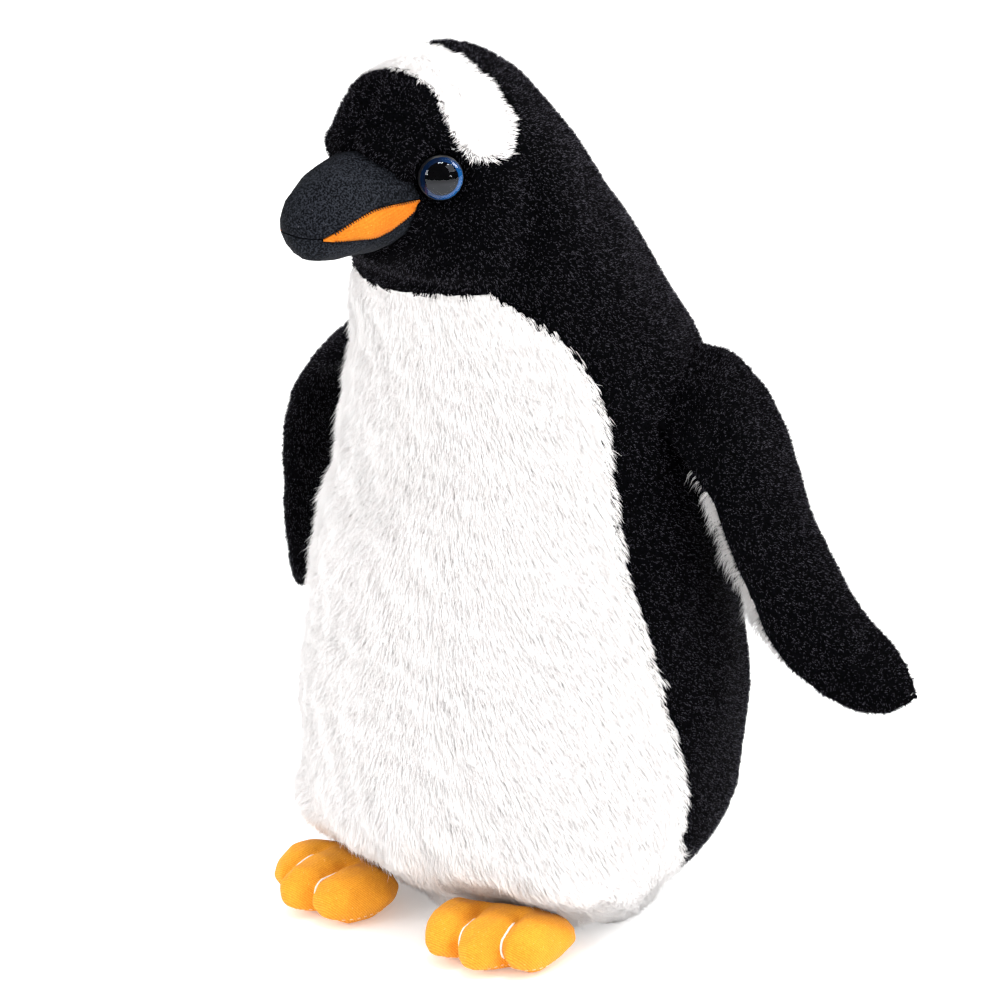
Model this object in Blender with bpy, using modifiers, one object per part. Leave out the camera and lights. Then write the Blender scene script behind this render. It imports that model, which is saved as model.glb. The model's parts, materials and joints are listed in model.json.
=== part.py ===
"""Plush penguin, 296 mm tall: sewn fabric panels over stuffing, safety eyes, hinged wings and feet.

Blender 4.5, metres, +Z up. The penguin faces -Y and its left side is +X. The origin is on the ground
under the middle of the body. Run with: blender --background --python part.py
"""
import math

import bmesh
import bpy
from mathutils import Matrix, Vector

# ---------------------------------------------------------------- driving dimensions
SKIN = 0.003            # thickness of a plush panel, backing and packed pile together
KNIT = 0.002            # thickness of the beak and foot fabric
SEAM_GAP = 0.00025      # how far a panel's edge stops short of its seam line
HEAD_FILL_GAP = 0.0012
FILL_GAP = 0.0007       # clearance between a panel and what it holds

# The body's outline as stations from the ground up: height, front y, back y, half width.
BODY = (
    (0.000, -0.0300, 0.0430, 0.0395),
    (0.010, -0.0415, 0.0515, 0.0500),
    (0.029, -0.0660, 0.0615, 0.0685),
    (0.055, -0.0712, 0.0698, 0.0748),
    (0.087, -0.0690, 0.0695, 0.0750),
    (0.125, -0.0645, 0.0665, 0.0705),
    (0.165, -0.0575, 0.0620, 0.0615),
    (0.187, -0.0570, 0.0580, 0.0560),
    (0.217, -0.0640, 0.0390, 0.0470),
    (0.245, -0.0740, 0.0210, 0.0410),
    (0.267, -0.0755, 0.0030, 0.0342),
    (0.285, -0.0650, -0.0140, 0.0215),
    (0.296, -0.0400, -0.0400, 0.0000),
)
# The legs show as two soft bulges low on the front corners: height, share added to the outline there.
LEG_BULGE = ((0.000, 0.14), (0.010, 0.18), (0.022, 0.10), (0.035, 0.03), (0.050, 0.00))
LEG_ANGLE, LEG_SPREAD = 62, 24
# The belly seam as angles from the front: height, degrees.
BELLY_SEAM = (
    (0.000, 118), (0.010, 110), (0.020, 97), (0.034, 90), (0.055, 86), (0.087, 78), (0.125, 68), (0.165, 66),
    (0.195, 67), (0.213, 58), (0.222, 42), (0.296, 42),
)
CHIN_Z = 0.2205         # the belly panel ends here, under the chin
NECK_Z = 0.2090         # torso and head stuffing meet here
TORSO_LOW_Z = 0.0020    # the ring where the torso stuffing starts; inside the skin it comes out higher
BODY_RINGS = 23
BELLY_STEPS, BACK_STEPS = 6, 9   # segments from the mid front to the seam, and on to the mid back

# White band over the crown, narrower in the middle: distance from the middle, front y, back y.
BAND = (
    (0.000, -0.0585, -0.0440), (0.012, -0.0585, -0.0408), (0.024, -0.0590, -0.0392), (0.060, -0.0590, -0.0396),
)
BAND_END_Z = 0.2645
BAND_ARC_STEPS = 10
BAND_SLOT_GAP = 0.0003
ABOVE_HEAD_Z = 0.33

# Beak stations: y, half width, half height, centre z.
BEAK = (
    (-0.0560, 0.0185, 0.0175, 0.2520),
    (-0.0740, 0.0172, 0.0163, 0.2518),
    (-0.0860, 0.0158, 0.0152, 0.2510),
    (-0.0960, 0.0132, 0.0130, 0.2495),
    (-0.1035, 0.0088, 0.0090, 0.2480),
    (-0.1070, 0.0000, 0.0000, 0.2468),
)
# Orange flash on the beak's side: y, upper edge and lower edge in degrees from the top.
BEAK_FLASH = (
    (-0.0560, 84, 90), (-0.0720, 84, 96), (-0.0770, 82, 110), (-0.0820, 80, 118), (-0.0880, 79, 117),
    (-0.0940, 82, 113), (-0.1000, 90, 108), (-0.1030, 101, 106),
)
BEAK_RINGS = 14
BEAK_UPPER_STEPS, BEAK_FLASH_STEPS, BEAK_LOWER_STEPS = 5, 2, 3
BEAK_CLEARANCE = 0.0004
BEAK_TRIM_LOW_Z = 0.195

EYE = Vector((0.0240, -0.0655, 0.2603))     # centre of the left eye, on the head's outline
EYE_TURN = 52           # degrees that the eye's axis turns outwards from straight ahead
EYE_LIFT = 0.06
EYE_RADIUS = 0.0070
EYE_DOME = 0.0046
EYE_LAYER_GAP = 0.0001      # air between the eye's layers
EYE_SEAT = 0.0006           # the backing's rear face above the bottom of the socket
EYE_BACKING_THICK, EYE_IRIS_THICK, EYE_PUPIL_THICK = 0.0016, 0.0007, 0.0006
EYE_IRIS_INSET = 0.0003
PUPIL_RADIUS = EYE_RADIUS * 0.76
DOME_WALL = 0.0004          # straight wall of the dome below its curve
DOME_STEPS = 6
SOCKET_DEPTH, SOCKET_RADIUS = 0.0045, 0.0110   # the eye is drawn into the head
POST_RADIUS, POST_LENGTH = 0.0022, 0.0125
POST_OVERLAP = 0.0008       # how far the post runs into the backing
WASHER_RADIUS, WASHER_THICK = 0.0062, 0.0012
WASHER_Z = -SKIN - 0.0016   # the washer's front face, behind the socket's bottom
WASHER_HOLE_GAP, PANEL_HOLE_GAP, EYE_FLAT_GAP = 0.00025, 0.0004, 0.0004
EYE_POCKET_GAP = 0.0006     # room in the head stuffing round the washer and the post
EYE_CUTTER_TOP = 0.012      # cutters end here, clear of the socket

# Left wing from root to tip: front edge, back edge, half thickness, height of the arch between the edges.
WING = (
    (0.0612, -0.0050, 0.1735, 0.0424, 0.0422, 0.1890, 0.0024, 0.0075),
    (0.0724, -0.0063, 0.1635, 0.0614, 0.0429, 0.1805, 0.0060, 0.0042),
    (0.0814, -0.0050, 0.1522, 0.0749, 0.0430, 0.1652, 0.0082, 0.0012),
    (0.0872, -0.0032, 0.1382, 0.0822, 0.0438, 0.1442, 0.0085, 0.0000),
    (0.0917, 0.0008, 0.1212, 0.0902, 0.0458, 0.1247, 0.0082, 0.0000),
    (0.0970, 0.0078, 0.1035, 0.0995, 0.0473, 0.1115, 0.0078, 0.0000),
    (0.1065, 0.0171, 0.0898, 0.1115, 0.0481, 0.1018, 0.0070, 0.0000),
    (0.1186, 0.0263, 0.0838, 0.1216, 0.0453, 0.0953, 0.0055, 0.0000),
    (0.1305, 0.0380, 0.0885, 0.1305, 0.0380, 0.0885, 0.0000, 0.0000),
)
# The right wing is bent a little more: how much further out and higher each station stands than on the left.
RIGHT_WING_SHIFT = (
    (0.0000, 0.0000), (0.0035, 0.0040), (0.0090, 0.0070), (0.0138, 0.0060), (0.0165, 0.0020),
    (0.0163, -0.0040), (0.0130, -0.0110), (0.0083, -0.0150), (0.0046, -0.0160),
)
WING_RINGS = 12
WING_OUTER_STEPS, WING_LINING_STEPS = 9, 5
WING_SKIN = 0.0020
WING_FILL_GAP = 0.0012
WING_FILL = (0.10, 0.88)   # where the stuffing starts and ends, as a share of the way along the stations
WING_LINING = (220, 324)   # the white lining's arc on a ring, in degrees; the rest is the black outer panel

# Foot: middle, degrees that it points outwards and the y about which it is turned, hinge line, and its three
# toes as (x from the middle, tip y).
FOOT_X = 0.0368
FOOT_SPLAY, SPLAY_Y = 12, -0.0580
FOOT_REAR_Y, FOOT_REAR_Z = -0.0290, 0.0055
TOES = ((-0.0150, -0.0715), (0.0000, -0.0765), (0.0134, -0.0680))
TOE_RADIUS, TOE_REAR_Y = 0.0088, -0.0370
INSTEP_X, INSTEP_Y, INSTEP_WIDE, INSTEP_LONG = 0.0040, -0.0455, 0.0205, 0.0165
INSTEP_CREST_Y = -0.0480    # the foot is highest here and falls away to the rear
FOOT_HEIGHT = 0.0195
FOOT_MIDDLE, FOOT_HALF = 0.47, 0.53     # height of the lobes' centres and their half height, as shares
FOOT_CLEARANCE = 0.0008
REAR_TAPER = 0.50
SOLE_THICK = 0.0020
FOOT_FACET = 0.0042     # size of the facets that the toes are blended with
THREAD_RADIUS = 0.00035
THREAD_START_Y, THREAD_END_Y = -0.0510, -0.0680
THREAD_POINTS = 9
THREAD_LIFT = 0.0003
LEG_TRIM_TOP_Z = 0.060
GROUND_BLOCK = (0.12, 0.16, 0.05)
GROUND_BLOCK_Y = -0.05

# Pouch of pellets low in the body, as radius and height.
POUCH_RADIUS, POUCH_HEIGHT, POUCH_SKIN = 0.0215, 0.0180, 0.0010
POUCH_CENTRE_Y = 0.0080
POUCH_NECK = 0.0035
POUCH_BASE = 0.86           # flat bottom as a share of the radius
POUCH_BASE_DROP = 0.0022    # and how far it lies below the dome
POUCH_FLOOR = SKIN + FILL_GAP + 0.0030
PELLET_GAP = 0.0011

COLOURS = {
    "black_plush": ((0.010, 0.010, 0.013), 0.85),
    "white_plush": ((0.86, 0.83, 0.80), 0.90),
    "black_knit": ((0.014, 0.016, 0.020), 0.75),
    "orange_knit": ((0.90, 0.33, 0.035), 0.80),
    "stuffing": ((0.88, 0.88, 0.88), 0.95),
    "clear_plastic": ((0.90, 0.95, 1.00), 0.05),
    "blue_paint": ((0.010, 0.105, 0.360), 0.30),
    "black_plastic": ((0.004, 0.004, 0.004), 0.25),
    "white_thread": ((0.92, 0.90, 0.86), 0.60),
    "pouch_cloth": ((0.70, 0.68, 0.62), 0.90),
    "pellets": ((0.80, 0.80, 0.82), 0.45),
}


# ---------------------------------------------------------------- scene helpers
def start():
    """Empties the scene and makes the two collections."""
    for obj in list(bpy.data.objects):
        bpy.data.objects.remove(obj, do_unlink=True)
    parts = bpy.data.collections.new("plush_penguin")
    helpers = bpy.data.collections.new("helpers")
    for collection in (parts, helpers):
        bpy.context.scene.collection.children.link(collection)
    return parts, helpers


def material(name):
    """The named fabric, plastic or thread as a Principled material."""
    found = bpy.data.materials.get(name)
    if found:
        return found
    colour, roughness = COLOURS[name]
    made = bpy.data.materials.new(name)
    made.use_nodes = True
    shader = made.node_tree.nodes["Principled BSDF"]
    shader.inputs["Base Color"].default_value = (*colour, 1.0)
    shader.inputs["Roughness"].default_value = roughness
    shader.inputs["Metallic"].default_value = 0.0
    return made


def add_object(name, bm, fabric):
    """Turns a bmesh into a smooth shaded object in the parts collection."""
    mesh = bpy.data.meshes.new(name)
    bm.to_mesh(mesh)
    bm.free()
    mesh.shade_smooth()
    obj = bpy.data.objects.new(name, mesh)
    obj.data.materials.append(material(fabric))
    PARTS.objects.link(obj)
    return obj


def as_helper(obj):
    """Moves an object among the cutters, out of the render."""
    PARTS.objects.unlink(obj)
    HELPERS.objects.link(obj)
    obj.hide_render = True
    obj.display_type = "WIRE"
    return obj


def solidify(obj, thickness):
    """Gives an open panel its thickness, inwards from the modelled face."""
    made = obj.modifiers.new("thickness", "SOLIDIFY")
    made.thickness = thickness
    made.offset = -1.0
    made.use_even_offset = True
    return obj


def boolean(obj, other, operation="DIFFERENCE"):
    made = obj.modifiers.new(operation.lower(), "BOOLEAN")
    made.operation = operation
    made.object = other
    made.solver = "EXACT"
    return obj


def bake_modifiers(obj):
    """Replaces an object's mesh by its evaluated mesh."""
    bpy.context.view_layer.update()
    graph = bpy.context.evaluated_depsgraph_get()
    mesh = bpy.data.meshes.new_from_object(obj.evaluated_get(graph), depsgraph=graph)
    obj.modifiers.clear()
    obj.data = mesh
    return obj


def set_origin(obj, pivot):
    """Moves an object's origin to a point in the world and leaves its shape where it is."""
    obj.data.transform(Matrix.Translation(-pivot))
    obj.location = pivot
    return obj


def mirrored(obj, name):
    """A copy of an object on the other side of the middle plane, as its own mesh."""
    bpy.context.view_layer.update()
    graph = bpy.context.evaluated_depsgraph_get()
    mesh = bpy.data.meshes.new_from_object(obj.evaluated_get(graph), depsgraph=graph)
    mesh.transform(Matrix.Scale(-1.0, 4, Vector((1, 0, 0))) @ obj.matrix_world)
    mesh.flip_normals()
    copy = bpy.data.objects.new(name, mesh)
    PARTS.objects.link(copy)
    return copy


# ---------------------------------------------------------------- curves through stations
def spline(stations, u, beyond=None):
    """Catmull-Rom through rows of numbers; u counts stations. beyond is the row that would come next."""
    last = len(stations) - 1
    i = min(max(int(math.floor(u)), 0), last - 1)
    t = u - i
    p1, p2 = stations[i], stations[i + 1]
    p0 = stations[i - 1] if i > 0 else [2 * a - b for a, b in zip(p1, p2)]
    if i + 2 <= last:
        p3 = stations[i + 2]
    else:
        # Past a closing point the outline turns back, so that the end comes out round.
        p3 = beyond or [p1[0]] + [2 * b - a for a, b in zip(p1[1:], p2[1:])]
    return [
        0.5 * (2 * b + (c - a) * t + (2 * a - 5 * b + 4 * c - d) * t * t + (3 * b - a - 3 * c + d) * t ** 3)
        for a, b, c, d in zip(p0, p1, p2, p3)
    ]


def table_value(rows, key, column=1):
    """Linear interpolation in a table sorted by its first column."""
    descending = rows[0][0] > rows[-1][0]
    ordered = rows[::-1] if descending else rows
    if key <= ordered[0][0]:
        return ordered[0][column]
    for low, high in zip(ordered, ordered[1:]):
        if key <= high[0]:
            share = (key - low[0]) / (high[0] - low[0])
            return low[column] + share * (high[column] - low[column])
    return ordered[-1][column]


def station_at(stations, key):
    """The u at which a monotonic set of stations passes key, by bisection."""
    low, high = 0.0, float(len(stations) - 1)
    rising = stations[-1][0] > stations[0][0]
    for _ in range(40):
        middle = (low + high) / 2
        if (spline(stations, middle)[0] < key) == rising:
            low = middle
        else:
            high = middle
    return (low + high) / 2


# ---------------------------------------------------------------- the body's surface
def eye_axis():
    """Unit vector out of the left eye."""
    turn = math.radians(EYE_TURN)
    return Vector((math.sin(turn), -math.cos(turn), EYE_LIFT)).normalized()


def outline_point(u, angle):
    """A point on the body's surface with the leg bulges and the eye sockets."""
    z, front, back, half = spline(BODY, u)
    off = (math.degrees(abs(math.atan2(math.sin(angle), math.cos(angle)))) - LEG_ANGLE) / LEG_SPREAD
    grow = 1 + table_value(LEG_BULGE, z) * math.exp(-off * off)
    point = Vector((
        half * grow * math.sin(angle), (front + back) / 2 - (back - front) / 2 * grow * math.cos(angle), z
    ))
    side = -1 if point.x < 0 else 1
    centre, axis = EYE.copy(), eye_axis()
    centre.x *= side
    axis.x *= side
    near = (point - centre).length / SOCKET_RADIUS
    return point - axis * SOCKET_DEPTH * math.exp(-near * near)


def body_point(u, angle, depth=0.0):
    """A point on the body, angle in radians from the front, depth below the surface along its normal."""
    here = outline_point(u, angle)
    if not depth:
        return here
    step = 0.01
    top = len(BODY) - 1
    if u > top - step:
        return here - Vector((0, 0, depth))
    up = outline_point(min(u + step, top), angle) - outline_point(max(u - step, 0.0), angle)
    around = outline_point(u, angle + step) - outline_point(u, angle - step)
    return here - around.cross(up).normalized() * depth


def body_rings():
    """Ring positions from the ground to the crown, with one ring on the chin line."""
    top = len(BODY) - 1
    chin = station_at(BODY, CHIN_Z)
    below = round(BODY_RINGS * chin / top)
    above = BODY_RINGS - below
    lower = [chin * i / below for i in range(below)]
    return lower + [chin + (top - chin) * i / above for i in range(above + 1)]


def body_angles(u):
    """Angles from the mid front to the mid back, with one on the belly seam."""
    seam = math.radians(table_value(BELLY_SEAM, spline(BODY, u)[0]))
    front = [seam * j / BELLY_STEPS for j in range(BELLY_STEPS)]
    back = [seam + (math.pi - seam) * j / BACK_STEPS for j in range(BACK_STEPS + 1)]
    return front + back


def draw_in_edges(bm, amount):
    """Pulls open sheets' edges inwards, so that they stop short of their neighbours."""
    moves = {}
    for vert in bm.verts:
        inward = Vector()
        for edge in vert.link_edges:
            if edge.is_boundary:
                along = (edge.verts[1].co - edge.verts[0].co).normalized()
                towards = edge.link_faces[0].calc_center_median() - edge.verts[0].co
                inward += (towards - along * towards.dot(along)).normalized()
        if inward.length > 1e-6:
            moves[vert] = inward.normalized() * amount * min(1.5, 2.0 / inward.length)
    for vert, move in moves.items():
        vert.co += move


def grid_sheet(bm, rows, cells):
    """Faces through a grid of points, with coinciding points made one. Returns the grid of vertices."""
    made = {}

    def vertex(point):
        key = tuple(round(c, 7) for c in point)
        if key not in made:
            made[key] = bm.verts.new(point)
        return made[key]

    grid = [[vertex(point) for point in row] for row in rows]
    for i, j in cells:
        corners = list(dict.fromkeys((grid[i][j], grid[i][j + 1], grid[i + 1][j + 1], grid[i + 1][j])))
        if len(corners) > 2:
            bm.faces.new(corners)
    return grid


def panel(name, outer, inner, keep, fabric):
    """A cut piece of fabric: a sheet through the outer points, one through the inner points, and its edge."""
    cells = [(i, j) for i in range(len(outer) - 1) for j in range(len(outer[0]) - 1) if keep(i, j)]
    bm = bmesh.new()
    face_grid = grid_sheet(bm, outer, cells)
    face_edges = set(bm.edges)
    back_grid = grid_sheet(bm, inner, cells)
    draw_in_edges(bm, SEAM_GAP)
    behind = {a: b for row, back in zip(face_grid, back_grid) for a, b in zip(row, back)}
    for edge in [e for e in face_edges if e.is_boundary]:
        a, b = edge.verts
        bm.faces.new((a, b, behind[b], behind[a]))
    bmesh.ops.delete(bm, geom=[v for v in bm.verts if not v.link_faces], context="VERTS")
    bmesh.ops.recalc_face_normals(bm, faces=bm.faces)
    return add_object(name, bm, fabric)


def body_panel(name, keep, fabric, cross_middle=False):
    """A plush panel from the left half of the body's surface, or from both if it crosses the middle."""
    layers = []
    for depth in (0.0, SKIN):
        rows = []
        for u in body_rings():
            angles = body_angles(u)
            if cross_middle:
                angles = [-a for a in reversed(angles[1:])] + angles
            rows.append([body_point(u, a, depth) for a in angles])
        layers.append(rows)
    half = BELLY_STEPS + BACK_STEPS

    def wanted(i, j):
        return keep(i, (j - half if j >= half else half - 1 - j) if cross_middle else j)

    return panel(name, *layers, wanted, fabric)


def closed_form(name, rows, fabric):
    """A closed solid through rings of points, with flat caps at open ends."""
    bm = bmesh.new()
    verts = [[bm.verts.new(p) for p in row] for row in rows]
    count = len(rows[0])
    for low, high in zip(verts, verts[1:]):
        for j in range(count):
            k = (j + 1) % count
            bm.faces.new((low[j], low[k], high[k], high[j]))
    bmesh.ops.remove_doubles(bm, verts=bm.verts, dist=1e-6)
    bmesh.ops.dissolve_degenerate(bm, edges=bm.edges, dist=1e-6)
    bmesh.ops.holes_fill(bm, edges=[e for e in bm.edges if e.is_boundary])
    bmesh.ops.recalc_face_normals(bm, faces=bm.faces)
    return add_object(name, bm, fabric)


def body_fill(name, low_z, high_z, depth, fabric="stuffing"):
    """The solid inside the skin between two heights."""
    top = len(BODY) - 1
    low, high = station_at(BODY, low_z), min(station_at(BODY, high_z), top)
    inner = [u for u in body_rings() if low + 0.15 < u < high - 0.15]
    rows = []
    for u in (low, *inner, high):
        angles = body_angles(u)
        angles = angles[:-1] + [2 * math.pi - a for a in reversed(angles[1:])]
        rows.append([body_point(u, a, depth) for a in angles])
    return closed_form(name, rows, fabric)


# ---------------------------------------------------------------- body, head and band
def band_outline(across, grow):
    """The band in side view at a distance from the middle, as a slot with a round lower end."""
    front, back = (table_value(BAND, abs(across), k) for k in (1, 2))
    radius, middle = (back - front) / 2 + grow, (back + front) / 2
    low = BAND_END_Z + (back - front) / 2
    arc = [math.pi * k / BAND_ARC_STEPS for k in range(BAND_ARC_STEPS + 1)]
    return [(across, middle - radius, ABOVE_HEAD_Z)] + [
        (across, middle - radius * math.cos(a), low - radius * math.sin(a)) for a in arc
    ] + [(across, middle + radius, ABOVE_HEAD_Z)]


def slot_cutter(name, grow):
    """A block across the head with the band's outline, grown by grow on every side."""
    stations = [-BAND[-1][0], -BAND[2][0], -BAND[1][0], 0.0, BAND[1][0], BAND[2][0], BAND[-1][0]]
    return as_helper(closed_form(name, [band_outline(x, grow) for x in stations], "black_plush"))


def eye_frame():
    """Matrix that carries +Z onto the left eye's axis, with the bottom of its socket as origin."""
    axis = eye_axis()
    return Matrix.Translation(EYE - axis * SOCKET_DEPTH) @ axis.to_track_quat("Z", "Y").to_matrix().to_4x4()


def cylinder(name, radius, low, high, fabric, frame, steps=20):
    """A cylinder along the frame's z axis from low to high."""
    bm = bmesh.new()
    bmesh.ops.create_cone(bm, cap_ends=True, segments=steps, radius1=radius, radius2=radius, depth=high - low)
    bmesh.ops.translate(bm, vec=(0, 0, (low + high) / 2), verts=bm.verts)
    bm.transform(frame)
    obj = add_object(name, bm, fabric)
    obj.data.set_sharp_from_angle(angle=math.radians(40))
    return obj


def make_body():
    rings = body_rings()
    chin_ring = min(range(len(rings)), key=lambda i: abs(spline(BODY, rings[i])[0] - CHIN_Z))
    left = body_panel("side_panel_left", lambda i, j: i >= chin_ring or j >= BELLY_STEPS, "black_plush")
    body_panel("belly_panel", lambda i, j: i < chin_ring and j < BELLY_STEPS, "white_plush",
               cross_middle=True)
    band = body_panel("head_band", lambda i, j: i >= chin_ring, "white_plush", cross_middle=True)
    boolean(left, slot_cutter("band_slot", BAND_SLOT_GAP))
    boolean(band, slot_cutter("band_shape", 0.0), "INTERSECT")
    bake_modifiers(band)
    head = body_fill("head_stuffing", NECK_Z + FILL_GAP, BODY[-1][0], SKIN + HEAD_FILL_GAP)
    torso = body_fill("torso_stuffing", TORSO_LOW_Z, NECK_Z - FILL_GAP, SKIN + FILL_GAP)
    return left, head, torso


def base_panel():
    """The oval under the body, flat on the ground, inside the panels' bottom edge."""
    angles = body_angles(0.0)
    angles = angles[:-1] + [2 * math.pi - a for a in reversed(angles[1:])]
    edge = [body_point(0.0, a, SKIN + 2 * SEAM_GAP) for a in angles]
    rows = [[(p.x, p.y, z) for p in edge] for z in (0.0, SKIN)]
    return closed_form("base_panel", rows, "white_plush")


def turned(name, profile, fabric, centre, steps=20):
    """A profile of (radius, z), listed top to bottom on its outer side, turned about a vertical axis."""
    bm = bmesh.new()
    verts = [bm.verts.new((r, 0, z)) for r, z in reversed(profile)]
    for a, b in zip(verts, verts[1:]):
        bm.edges.new((a, b))
    obj = add_object(name, bm, fabric)
    made = obj.modifiers.new("turn", "SCREW")
    made.steps = made.render_steps = steps
    made.use_merge_vertices = True
    made.merge_threshold = 0.00005
    made.use_normal_calculate = True
    obj.location = centre
    return obj


def pouch_outline(grow, low, count=7):
    """The pouch's outer outline from its top down to its flat bottom."""
    radius, height = POUCH_RADIUS + grow, POUCH_HEIGHT + grow
    dome = [(radius * math.sin(a), low + height * math.cos(a))
            for a in (math.pi / 2 * k / (count - 1) for k in range(count))]
    bottom = low - POUCH_BASE_DROP - grow
    return dome + [(radius * POUCH_BASE, bottom), (0.0, bottom)]


def pouch(torso):
    """A cloth bag of pellets in a pocket at the bottom of the torso stuffing."""
    centre = Vector((0, POUCH_CENTRE_Y, 0))
    outer = [p for p in pouch_outline(0.0, POUCH_FLOOR) if p[0] > 1e-6]
    neck = (POUCH_NECK, POUCH_FLOOR + POUCH_HEIGHT * math.sqrt(1 - (POUCH_NECK / POUCH_RADIUS) ** 2))
    wall = [p for p in outer if p[0] > POUCH_NECK + 1e-4]
    shell = turned("pellet_pouch", [neck, *wall, (0.0, outer[-1][1])], "pouch_cloth", centre)
    solidify(shell, POUCH_SKIN)
    turned("pellet_fill", pouch_outline(-POUCH_SKIN - PELLET_GAP, POUCH_FLOOR), "pellets", centre)
    pocket = pouch_outline(FILL_GAP, POUCH_FLOOR)[:-2]
    pocket += [(pocket[-1][0], -0.01), (0.0, -0.01)]
    cutter = as_helper(turned("pouch_pocket", pocket, "pouch_cloth", centre))
    boolean(torso, cutter)


# ---------------------------------------------------------------- beak
def beak_point(u, angle, depth=0.0):
    """A point on the beak, angle in radians from the top towards the left side."""
    y, half_w, half_h, z = spline(BEAK, u)
    shrink = max(0.0, 1 - depth / max(half_w, 1e-6)) if depth else 1.0
    forward = depth * min(1.0, max(0.0, u - 2) / 3)
    return Vector((half_w * shrink * math.sin(angle), y + forward, z + half_h * shrink * math.cos(angle)))


def beak_rings():
    top = len(BEAK) - 1
    return [top * i / BEAK_RINGS for i in range(BEAK_RINGS + 1)]


def beak_rows(depth):
    """The beak's grid at a depth, from the middle of the underside round the right side to the left."""
    rows = []
    for u in beak_rings():
        high, low = (math.radians(table_value(BEAK_FLASH, spline(BEAK, u)[0], k)) for k in (1, 2))
        angles = [high * j / BEAK_UPPER_STEPS for j in range(BEAK_UPPER_STEPS)]
        angles += [high + (low - high) * j / BEAK_FLASH_STEPS for j in range(BEAK_FLASH_STEPS)]
        angles += [low + (math.pi - low) * j / BEAK_LOWER_STEPS for j in range(BEAK_LOWER_STEPS + 1)]
        rows.append([beak_point(u, a, depth) for a in ([-a for a in reversed(angles[1:])] + angles)])
    return rows


def make_beak():
    """Upper and lower knit panels, an orange flash on each side, and the stuffing, trimmed to the head."""
    half = BEAK_UPPER_STEPS + BEAK_FLASH_STEPS + BEAK_LOWER_STEPS
    flash_end = sum(spline(BEAK, u)[0] > BEAK_FLASH[-1][0] for u in beak_rings())
    outer, inner = beak_rows(0.0), beak_rows(KNIT)

    def zone(i, j):
        step = j - half if j >= half else half - 1 - j
        if step < BEAK_UPPER_STEPS:
            return "beak_upper"
        # Past the flash's tip the sliver between its edges belongs to the lower panel.
        if step >= BEAK_UPPER_STEPS + BEAK_FLASH_STEPS or i >= flash_end:
            return "beak_lower"
        return "beak_flash_left" if j >= half else "beak_flash_right"

    trim = as_helper(body_fill("head_clearance", BEAK_TRIM_LOW_Z, BODY[-1][0], -BEAK_CLEARANCE))
    for name in ("beak_upper", "beak_lower", "beak_flash_left", "beak_flash_right"):
        fabric = "orange_knit" if "flash" in name else "black_knit"
        boolean(panel(name, outer, inner, lambda i, j, n=name: zone(i, j) == n, fabric), trim)
    rows = [row[:-1] for row in beak_rows(KNIT + FILL_GAP)]
    boolean(closed_form("beak_stuffing", rows, "stuffing"), trim)


# ---------------------------------------------------------------- eyes
def eye_layers(frame):
    """The backing with its post, the painted iris and pupil, and the clear dome of the left eye."""
    back_high = EYE_SEAT + EYE_BACKING_THICK
    iris_high = back_high + EYE_IRIS_THICK
    pupil_high = iris_high + EYE_PUPIL_THICK
    backing = cylinder("eye_left_backing", EYE_RADIUS, EYE_SEAT, back_high, "black_plastic", frame)
    post = cylinder("post", POST_RADIUS, -POST_LENGTH, EYE_SEAT + POST_OVERLAP, "black_plastic", frame, 12)
    bake_modifiers(boolean(backing, as_helper(post), "UNION"))
    iris = cylinder("eye_left_iris", EYE_RADIUS - EYE_IRIS_INSET, back_high + EYE_LAYER_GAP, iris_high,
                    "blue_paint", frame)
    low = iris_high + EYE_LAYER_GAP
    pupil = cylinder("eye_left_pupil", PUPIL_RADIUS, low, pupil_high, "black_plastic", frame)
    # The dome is a lens with a shallow recess for the pupil.
    recess = PUPIL_RADIUS + 2 * EYE_LAYER_GAP
    outline = [(EYE_RADIUS * math.sin(a), low + DOME_WALL + EYE_DOME * math.cos(a))
               for a in (math.pi / 2 * k / DOME_STEPS for k in range(DOME_STEPS + 1))]
    roof = pupil_high + EYE_LAYER_GAP
    outline += [(EYE_RADIUS, low), (recess, low), (recess, roof), (0.0, roof)]
    dome = bake_modifiers(turned("eye_left_dome", outline, "clear_plastic", (0, 0, 0), 24))
    dome.data.transform(frame)
    return [backing, iris, pupil, dome]


def eye_washer(frame):
    """The washer that is pressed on the post inside the head."""
    low = WASHER_Z - WASHER_THICK
    washer = cylinder("eye_left_washer", WASHER_RADIUS, low, WASHER_Z, "black_plastic", frame)
    hole = cylinder("washer_hole", POST_RADIUS + WASHER_HOLE_GAP, 2 * low, 0.0, "black_plastic", frame, 12)
    return bake_modifiers(boolean(washer, as_helper(hole)))


def eye_cutter(name, radius, low, high, frame, steps=12):
    return as_helper(cylinder(name, radius, low, high, "black_plastic", frame, steps))


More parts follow.
